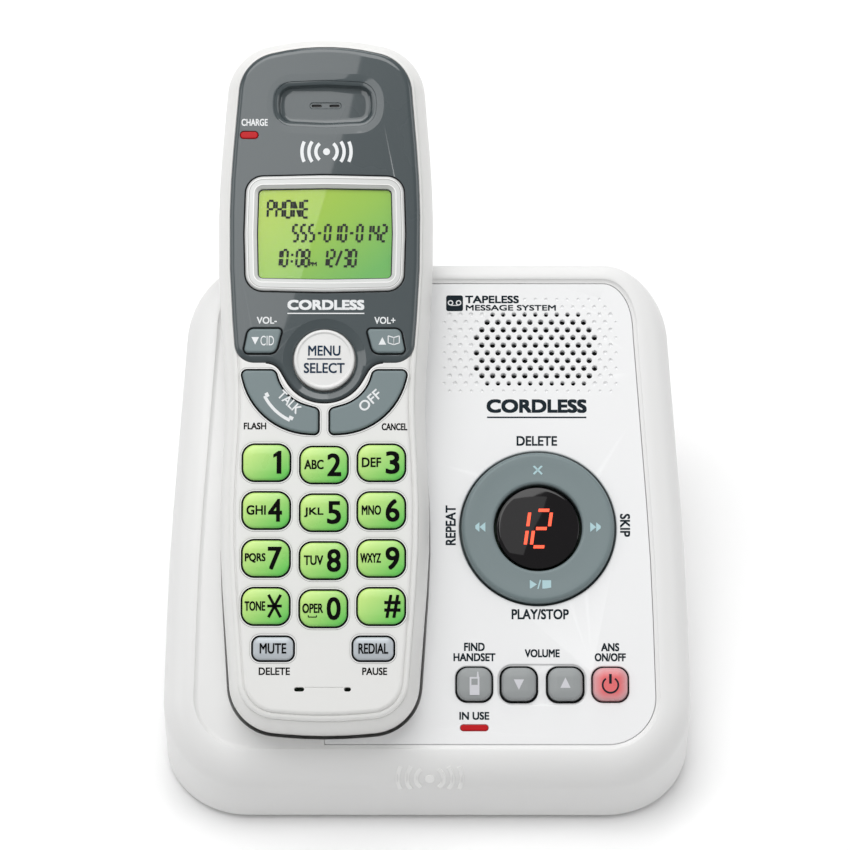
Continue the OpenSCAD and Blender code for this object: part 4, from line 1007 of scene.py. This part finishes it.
def handset_printing():
    face = ("handset", BLACK_INK, "white_handset", HAND)
    for text, x, y, w, h in (("FLASH", -15.4, 68.25, 5.0, 1.55), ("CANCEL", 15.7, 68.1, 5.7, 1.6),
                             ("DELETE", -10.8, 13.5, 6.9, 1.66), ("PAUSE", 11.4, 13.5, 5.5, 1.66)):
        letters(text, *face, x, y, THICK, (w, h), bold=0.05)
    pale = ("handset", PALE_INK, "slate_bezel", HAND)
    top = THICK + 0.1
    letters("VOL-", *pale, -12.9, 92.1, top, (4.5, 1.6), bold=0.04)
    letters("VOL+", *pale, 13.5, 92.1, top, (4.7, 1.6), bold=0.04)
    letters("CHARGE", *pale, -15.9, 137.2, top, (5.9, 1.6), bold=0.04)
    letters("CORDLESS", *pale, 0.3, 95.6, top, (17.2, 2.3), bold=0.14)
    shape([[-8.3, 93.55], [8.9, 93.55], [8.9, 93.8], [-8.3, 93.8]], *pale, top)
    signal_emblem(lambda corners: shape(corners, *pale, top), 0.3, 130.5, 4.6, 0.75)

    lcd = ("handset", BLACK_INK, "lcd_panel", HAND)
    level = THICK - 0.68
    display("PHONE", *lcd, -12.9, 115.6, level, (1.4, 3.8), 1.95, 0.52, 0.03)
    display("555-010-0142", *lcd, -7.3, 110.2, level, (1.15, 3.7), 1.8, 0.54, 0.07)
    display("10:08", *lcd, -11.3, 104.5, level, (1.15, 3.7), 1.62, 0.52, 0.07)
    display("12/30", *lcd, -0.8, 104.5, level, (1.15, 3.7), 1.62, 0.52, 0.07)
    letters("PM", *lcd, -2.7, 105.0, level, (1.8, 0.95), bold=0.05)

    blue = ("key_menu", BLUE_INK, "silver_keys", HAND)
    top = 26.93
    letters("MENU", *blue, 0, MENU_L + 2.0, top, (7.2, 2.3), bold=0.05)
    letters("SELECT", *blue, 0, MENU_L - 1.9, top, (9.1, 2.3), bold=0.05)
    shape([[-3.8, MENU_L], [3.8, MENU_L], [3.8, MENU_L + 0.28], [-3.8, MENU_L + 0.28]], *blue, top)

    rise = THICK + 0.8
    down = ("key_volume_down", PALE_INK, "slate_keys", HAND)
    shape([[-16.3, 88.2], [-15.45, 86.5], [-14.6, 88.2]], *down, rise)
    letters("CID", *down, -12.75, 87.4, rise, (3.0, 2.2))
    up = ("key_volume_up", PALE_INK, "slate_keys", HAND)
    shape([[12.1, 86.5], [13.8, 86.5], [12.95, 88.2]], *up, rise)
    for side in (-1, 1):
        page = [[15.5, 86.5], [15.5 + side * 1.25, 86.9], [15.5 + side * 1.25, 88.5], [15.5, 88.1]]
        for a, b in zip(page, page[1:] + page[:1]):
            shape(bar(a, b, 0.22), *up, rise)

    rise = THICK + 0.7
    talk = ("key_talk", PALE_INK, "slate_keys", HAND)
    letters("TALK", *talk, -7.7, 73.6, rise, (6.0, 2.1), -44, bold=0.05)
    centre = (-2.5, 80.4)
    shape(arc_band(*centre, 12.1, 0.7, 207, 245, 16), *talk, rise)
    for q in (207, 245):
        end = [centre[0] + 11.9 * math.cos(math.radians(q)), centre[1] + 11.9 * math.sin(math.radians(q))]
        inner = [centre[0] + 11.1 * math.cos(math.radians(q)), centre[1] + 11.1 * math.sin(math.radians(q))]
        shape(bar(end, inner, 1.0), *talk, rise)
    off = ("key_off", PALE_INK, "slate_keys", HAND)
    letters("OFF", *off, 10.2, 73.9, rise, (5.6, 2.3), 42, bold=0.05)

    soft = {"mute": ("MUTE", -SOFT_X, 5.9), "redial": ("REDIAL", SOFT_X, 6.6)}
    for key, (text, x, w) in soft.items():
        letters(text, "key_" + key, BLACK_INK, "silver_keys", HAND, x, SOFT_L, THICK + 0.75, (w, 2.3),
                bold=0.05)

    small = ["", "ABC", "DEF", "GHI", "JKL", "MNO", "PQRS", "TUV", "WXYZ", "TONE", "OPER", ""]
    widths = {3: 4.3, 4: 4.6}
    for i, key in enumerate(NUMBER_KEYS):
        x, l = number_place(i)
        artwork = ("key_" + key, BLACK_INK, "green_keys", HAND)
        top = THICK + 0.91
        column = i % 3
        big_x = x + (2.0, 2.3, 2.5)[column] + (0.5 if key == "1" else 0)
        if key == "star":
            for a, b in (((-1.35, -2.5), (1.35, 2.5)), ((-1.35, 2.5), (1.35, -2.5)), ((-1.6, 0), (1.6, 0))):
                shape(bar((big_x + a[0], l + a[1]), (big_x + b[0], l + b[1]), 0.62), *artwork, top)
        elif key == "1":
            figure = [[-0.2, -2.55], [0.85, -2.55], [0.85, 2.55], [0.15, 2.55], [-0.95, 1.75], [-0.95, 1.0],
                      [-0.2, 1.4]]
            shape([[big_x + u, l + v] for u, v in figure], *artwork, top)
        else:
            size = (3.6, 5.1) if key == "hash" else (3.1, 5.1)
            letters("#" if key == "hash" else key, *artwork, big_x, l - 0.05, top, size, bold=0.12)
        if small[i]:
            letters(small[i], *artwork, x - (2.35 if len(small[i]) == 4 else 2.2), l, top,
                    (widths[len(small[i])], 2.15), bold=0.06)
        if key == "0":
            for a, b in (((-3.3, -1.55), (-3.3, -1.95)), ((-3.3, -1.95), (-1.5, -1.95)),
                         ((-1.5, -1.95), (-1.5, -1.55))):
                shape(bar((x + a[0], l + a[1]), (x + b[0], l + b[1]), 0.22), *artwork, top)


def rim_emblem():
    """Raised emblem that follows the round of the front rim."""
    centre_y = FRONT_Y + FRONT_ROUND
    slope = math.radians(FACE_TILT)
    centre_z = FACE_HEIGHT + (centre_y - FACE_Y) * math.tan(slope) - FRONT_ROUND / math.cos(slope)
    middle = math.radians(24)
    entry_points, entry_faces = [], []

    def draw(corners):
        n, start = len(corners), len(entry_points)
        for rise in (-0.1, 0.2):
            for u, v in corners:
                q = middle + v / FRONT_ROUND
                r = FRONT_ROUND + rise
                entry_points.append([u, centre_y - r * math.cos(q), centre_z + r * math.sin(q)])
        entry_faces.append([start + i for i in range(n)][::-1])
        entry_faces.append([start + n + i for i in range(n)])
        entry_faces.extend([start + i, start + (i + 1) % n, start + n + (i + 1) % n,
                            start + n + i] for i in range(n))

    signal_emblem(draw, 0.6, 0, 6.0, 0.9)
    dress(piece_from("front_emblem", entry_points, entry_faces), "base", PALE_EMBLEM_AND_EDGE_HIGHLIGHT, "white_base", angle=30)


def outline_band(outline, inset, width, body, material, slot, place, z, kept=None):
    """A flat band along an outline, from inset inwards by width, all round or over its kept run of rows."""
    rows = outline
    if kept is not None:
        start = next(i for i in range(len(kept)) if kept[i] and not kept[i - 1])
        rows = np.roll(outline, -start, axis=0)[:int(kept.sum())]
    n = len(rows)
    rings = [ring(rows, by, z + h) for by, h in ((inset, -PRINT_RISE), (inset, PRINT_RISE),
                                                 (inset + width, PRINT_RISE), (inset + width, -PRINT_RISE))]
    steps = range(n if kept is None else n - 1)
    faces = [[k * n + i, k * n + (i + 1) % n, (k + 1) % 4 * n + (i + 1) % n,
              (k + 1) % 4 * n + i] for k in range(4) for i in steps]
    if kept is not None:
        faces += [[3 * n, 2 * n, n, 0], [n - 1, 2 * n - 1, 3 * n - 1, 4 * n - 1]]
    add_print(body, material, slot, place, [p for level in rings for p in level], faces)


def painted_gap_shade_and_highlights():
    """Painted shade over the gaps and painted highlights on the lips round the keys, and the seam lines of
    the handset's face as painted shade and highlight.
    """
    dark = ("handset", GAP, "white_handset")
    pale = ("handset", PALE_EMBLEM_AND_EDGE_HIGHLIGHT, "white_handset")
    places = [(NUMBER_HOLE, at(HAND, *number_place(i)), THICK - 0.06) for i in range(12)]
    places += [(SOFT_HOLE, at(HAND, x, SOFT_L), THICK - 0.06) for x in (-SOFT_X, SOFT_X)]
    places += [(TALK_HOLE, HAND, THICK), (OFF_HOLE, HAND, THICK)]
    for outline, place, z in places:
        # Painted shade over the gap, a painted highlight on the lip, and a thin painted shade line beyond it.
        outline_band(outline, -0.12, 0.42, *dark, place, z + 0.02)
        outline_band(outline, -0.34, 0.2, *pale, place, z + 0.02)
        outline_band(outline, -0.46, 0.07, "handset", PAINTED_EDGE_SHADE, "white_handset", place, z + 0.02)
    # Painted shade in the gaps round the screen frame and the volume keys.
    outline_band(LCD_FRAME, -0.22, 0.25, "handset", GAP, "slate_bezel", LCD_PLACE, THICK + 0.1)
    for hole in (VOLUME_DOWN_HOLE, VOLUME_UP_HOLE):
        outline_band(hole, -0.08, 0.3, "handset", GAP, "slate_bezel", HAND, THICK + 0.1)
    # Painted shadow round the inside of the screen window, and painted highlights with a painted shade line
    # along the frame's edges.
    window = LCD_PLACE
    outline_band(LCD_WINDOW, -0.1, 0.35, "handset", GAP, "lcd_panel", window, THICK - 0.68)
    outline_band(LCD_FRAME, 0.62, 0.12, "handset", PALE_EMBLEM_AND_EDGE_HIGHLIGHT, "silver_keys", window, THICK + 0.64)
    outline_band(LCD_FRAME, 0.8, 0.12, "handset", PAINTED_EDGE_SHADE, "silver_keys", window, THICK + 0.64)
    outline_band(LCD_WINDOW, -1.0, 0.22, "handset", PALE_EMBLEM_AND_EDGE_HIGHLIGHT, "silver_keys", window, THICK + 0.64)
    # Painted shade in the seam at the bezel's lower edge, with a painted highlight on the white lip beside
    # it.
    lower = (np.abs(BEZEL_OUTLINE[:, 0]) < 15.5) & (BEZEL_OUTLINE[:, 1] < 100)
    outline_band(BEZEL_OUTLINE, -0.28, 0.3, *dark, HAND, THICK, lower)
    outline_band(BEZEL_OUTLINE, -0.75, 0.4, *pale, HAND, THICK, lower)
    # Painted shade in the gaps round the base keys.
    base = ("base", GAP, "white_base")
    for x in BASE_KEY_X.values():
        outline_band(BASE_KEY_HOLE, -0.1, 0.4, *base, at(FACE, x, BASE_KEYS_S), PLATE_TOP - 0.3)


def print_pieces():
    for (body, slot, colour), (material, points, faces) in prints.items():
        obj = piece_from(f"{body}_{colour}", points, faces)
        obj.data.materials.append(material)
        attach(obj, body)


# ---- Finishes of the CAD pieces that stay ----

def finish_cad_nodes():
    finishes = {
        WHITE: ["base_bottom_cover"], FOOT_RUBBER: ["rubber_feet"],
        STEEL: ["base_screws", "handset_screws", "microphone"],
        BOARD: ["base_circuit_board", "handset_circuit_board"],
        BLACK: ["base_speaker", "earpiece_speaker", "line_jack", "power_inlet"],
        MAT_RUBBER: ["base_key_mat", "handset_key_mat", "nav_ring_rocker"], FELT: ["speaker_felt"],
        GOLD: ["charge_contact_left", "charge_contact_right", "charge_strips", "base_antenna",
               "handset_antenna"],
        WRAP: ["battery_pack"], CONNECTOR: ["battery_connector"], LED_BODY: ["led_display"],
    }
    for material, nodes in finishes.items():
        for node in nodes:
            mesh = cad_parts[node].data
            mesh.materials.clear()
            mesh.materials.append(material)


def lcd_glass():
    material, nodes, links = node_material("clear_window")
    shader = nodes["Principled BSDF"]
    links.new(blended(nodes, links, grain(nodes, links, 60), (0.75, 0.85, 0.7), (0.9, 0.95, 0.88)),
              shader.inputs["Base Color"])
    settle(shader, Alpha=0.025, Roughness=0.03)
    lens = plate("lcd_window_lens", LCD_WINDOW, [[0.05, THICK - 0.6]] + edge(0.05, THICK + 0.2, 0.15, 3),
                 LCD_PLACE)
    dress(lens, "handset", material, "lcd_glass", "lcd_window")


# ---- Studio ----

WORLD_STRENGTH = 0.4
# Soft lamps: name, place in metres, size, watts.
LAMPS = (("top", (-0.2, 0.25, 1.5), 1.1, 14.0), ("left", (-1.3, -0.2, 0.9), 0.8, 3.2),
         ("right", (1.3, -0.1, 0.9), 0.8, 3.0), ("back", (0.2, 1.4, 0.9), 0.8, 4.0))


def studio():
    """White floor, even sky and soft lamps."""
    floor, nodes, links = node_material("studio_floor")
    shader = nodes["Principled BSDF"]
    links.new(blended(nodes, links, grain(nodes, links, 4), (0.97, 0.97, 0.97), (0.98, 0.98, 0.98)),
              shader.inputs["Base Color"])
    settle(shader, Roughness=0.75)
    bpy.ops.mesh.primitive_plane_add(size=6, location=(0, 0, 0))
    ground = bpy.context.object
    ground.name = "studio_floor"
    ground.data.materials.append(floor)

    world = bpy.data.worlds.new("studio")
    world.use_nodes = True
    settle(world.node_tree.nodes["Background"], Color=(1, 1, 1, 1), Strength=WORLD_STRENGTH)
    bpy.context.scene.world = world

    for name, place, size, power in LAMPS:
        light = bpy.data.lights.new(name, "AREA")
        light.size = size
        light.energy = power
        lamp = bpy.data.objects.new(name, light)
        lamp.location = place
        lamp.rotation_euler = (Vector((0, 0, 0.04)) - Vector(place)).to_track_quat("-Z", "Y").to_euler()
        bpy.context.scene.collection.objects.link(lamp)


def reflected_card(name, place, corners, z, strength, distance=90):
    """A glowing card that place's surface at height z mirrors to the camera, between the corners."""
    material, nodes, _ = node_material(name)
    shader = nodes["Principled BSDF"]
    settle(shader, Base_Color=(0, 0, 0, 1), Emission_Color=(1, 1, 1, 1), Emission_Strength=strength)
    normal = (place.to_3x3() @ Vector((0, 0, 1))).normalized()
    points = []
    for x, y in corners:
        spot = place @ Vector((x, y, z))
        ray = (spot - EYE / MM).normalized()
        points.append(spot + (ray - 2 * ray.dot(normal) * normal) * distance)
    card = piece_from(name, points, [list(range(len(points)))])
    card.data.materials.append(material)
    card.visible_camera = card.visible_diffuse = card.visible_shadow = False


CAMERA_ELEVATION, CAMERA_DISTANCE = 55.5, 1.0
PRINCIPAL = Vector((0, FACE_Y * MM + 0.04858, 0.035))


ELEVATION = math.radians(CAMERA_ELEVATION)
BACK = Vector((0, -math.cos(ELEVATION), math.sin(ELEVATION)))
UP = Vector((0, math.sin(ELEVATION), math.cos(ELEVATION)))
EYE = PRINCIPAL + BACK * CAMERA_DISTANCE


def camera():
    """Long lens in front of and above the phone, aimed a little over the middle of the base."""
    aim = PRINCIPAL + UP * 0.02344 + Vector((-0.00052, 0, 0))
    data = bpy.data.cameras.new("camera")
    data.lens = 4.385 * CAMERA_DISTANCE / MM / 850 * 36
    data.sensor_width = 36
    data.clip_start, data.clip_end = 0.05, 20
    view = bpy.data.objects.new("camera", data)
    view.location = EYE
    view.rotation_euler = (aim - EYE).to_track_quat("-Z", "Y").to_euler()
    bpy.context.scene.collection.objects.link(view)
    bpy.context.scene.camera = view
    bpy.context.scene.view_settings.view_transform = "Standard"


studio()
camera()
reflected_card("bezel_card", HAND, [[-60, 175], [9.5, 170], [8.4, 154], [6.6, 146], [4.4, 136], [0.6, 123],
                                    [-5.2, 102.6],
                                    [-9, 90.5], [-14, 80], [-60, 70]], THICK + 0.1, 2.4)
reflected_card("window_card", FACE, [[8, 62], [29, 62], [27.2, 56], [24.6, 49.5], [20.6, 41], [19, 37],
                                     [8, 37]], 0.2, 1.4)
base_housing()
base_faceplate()
nav_ring()
base_keys()
in_use_light()
rear_shell()
front_shell()
bezel()
screen()
lcd_glass()
handset_keys()
battery_door()
charge_light()
base_printing()
handset_printing()
rim_emblem()
painted_gap_shade_and_highlights()
print_pieces()
finish_cad_nodes()
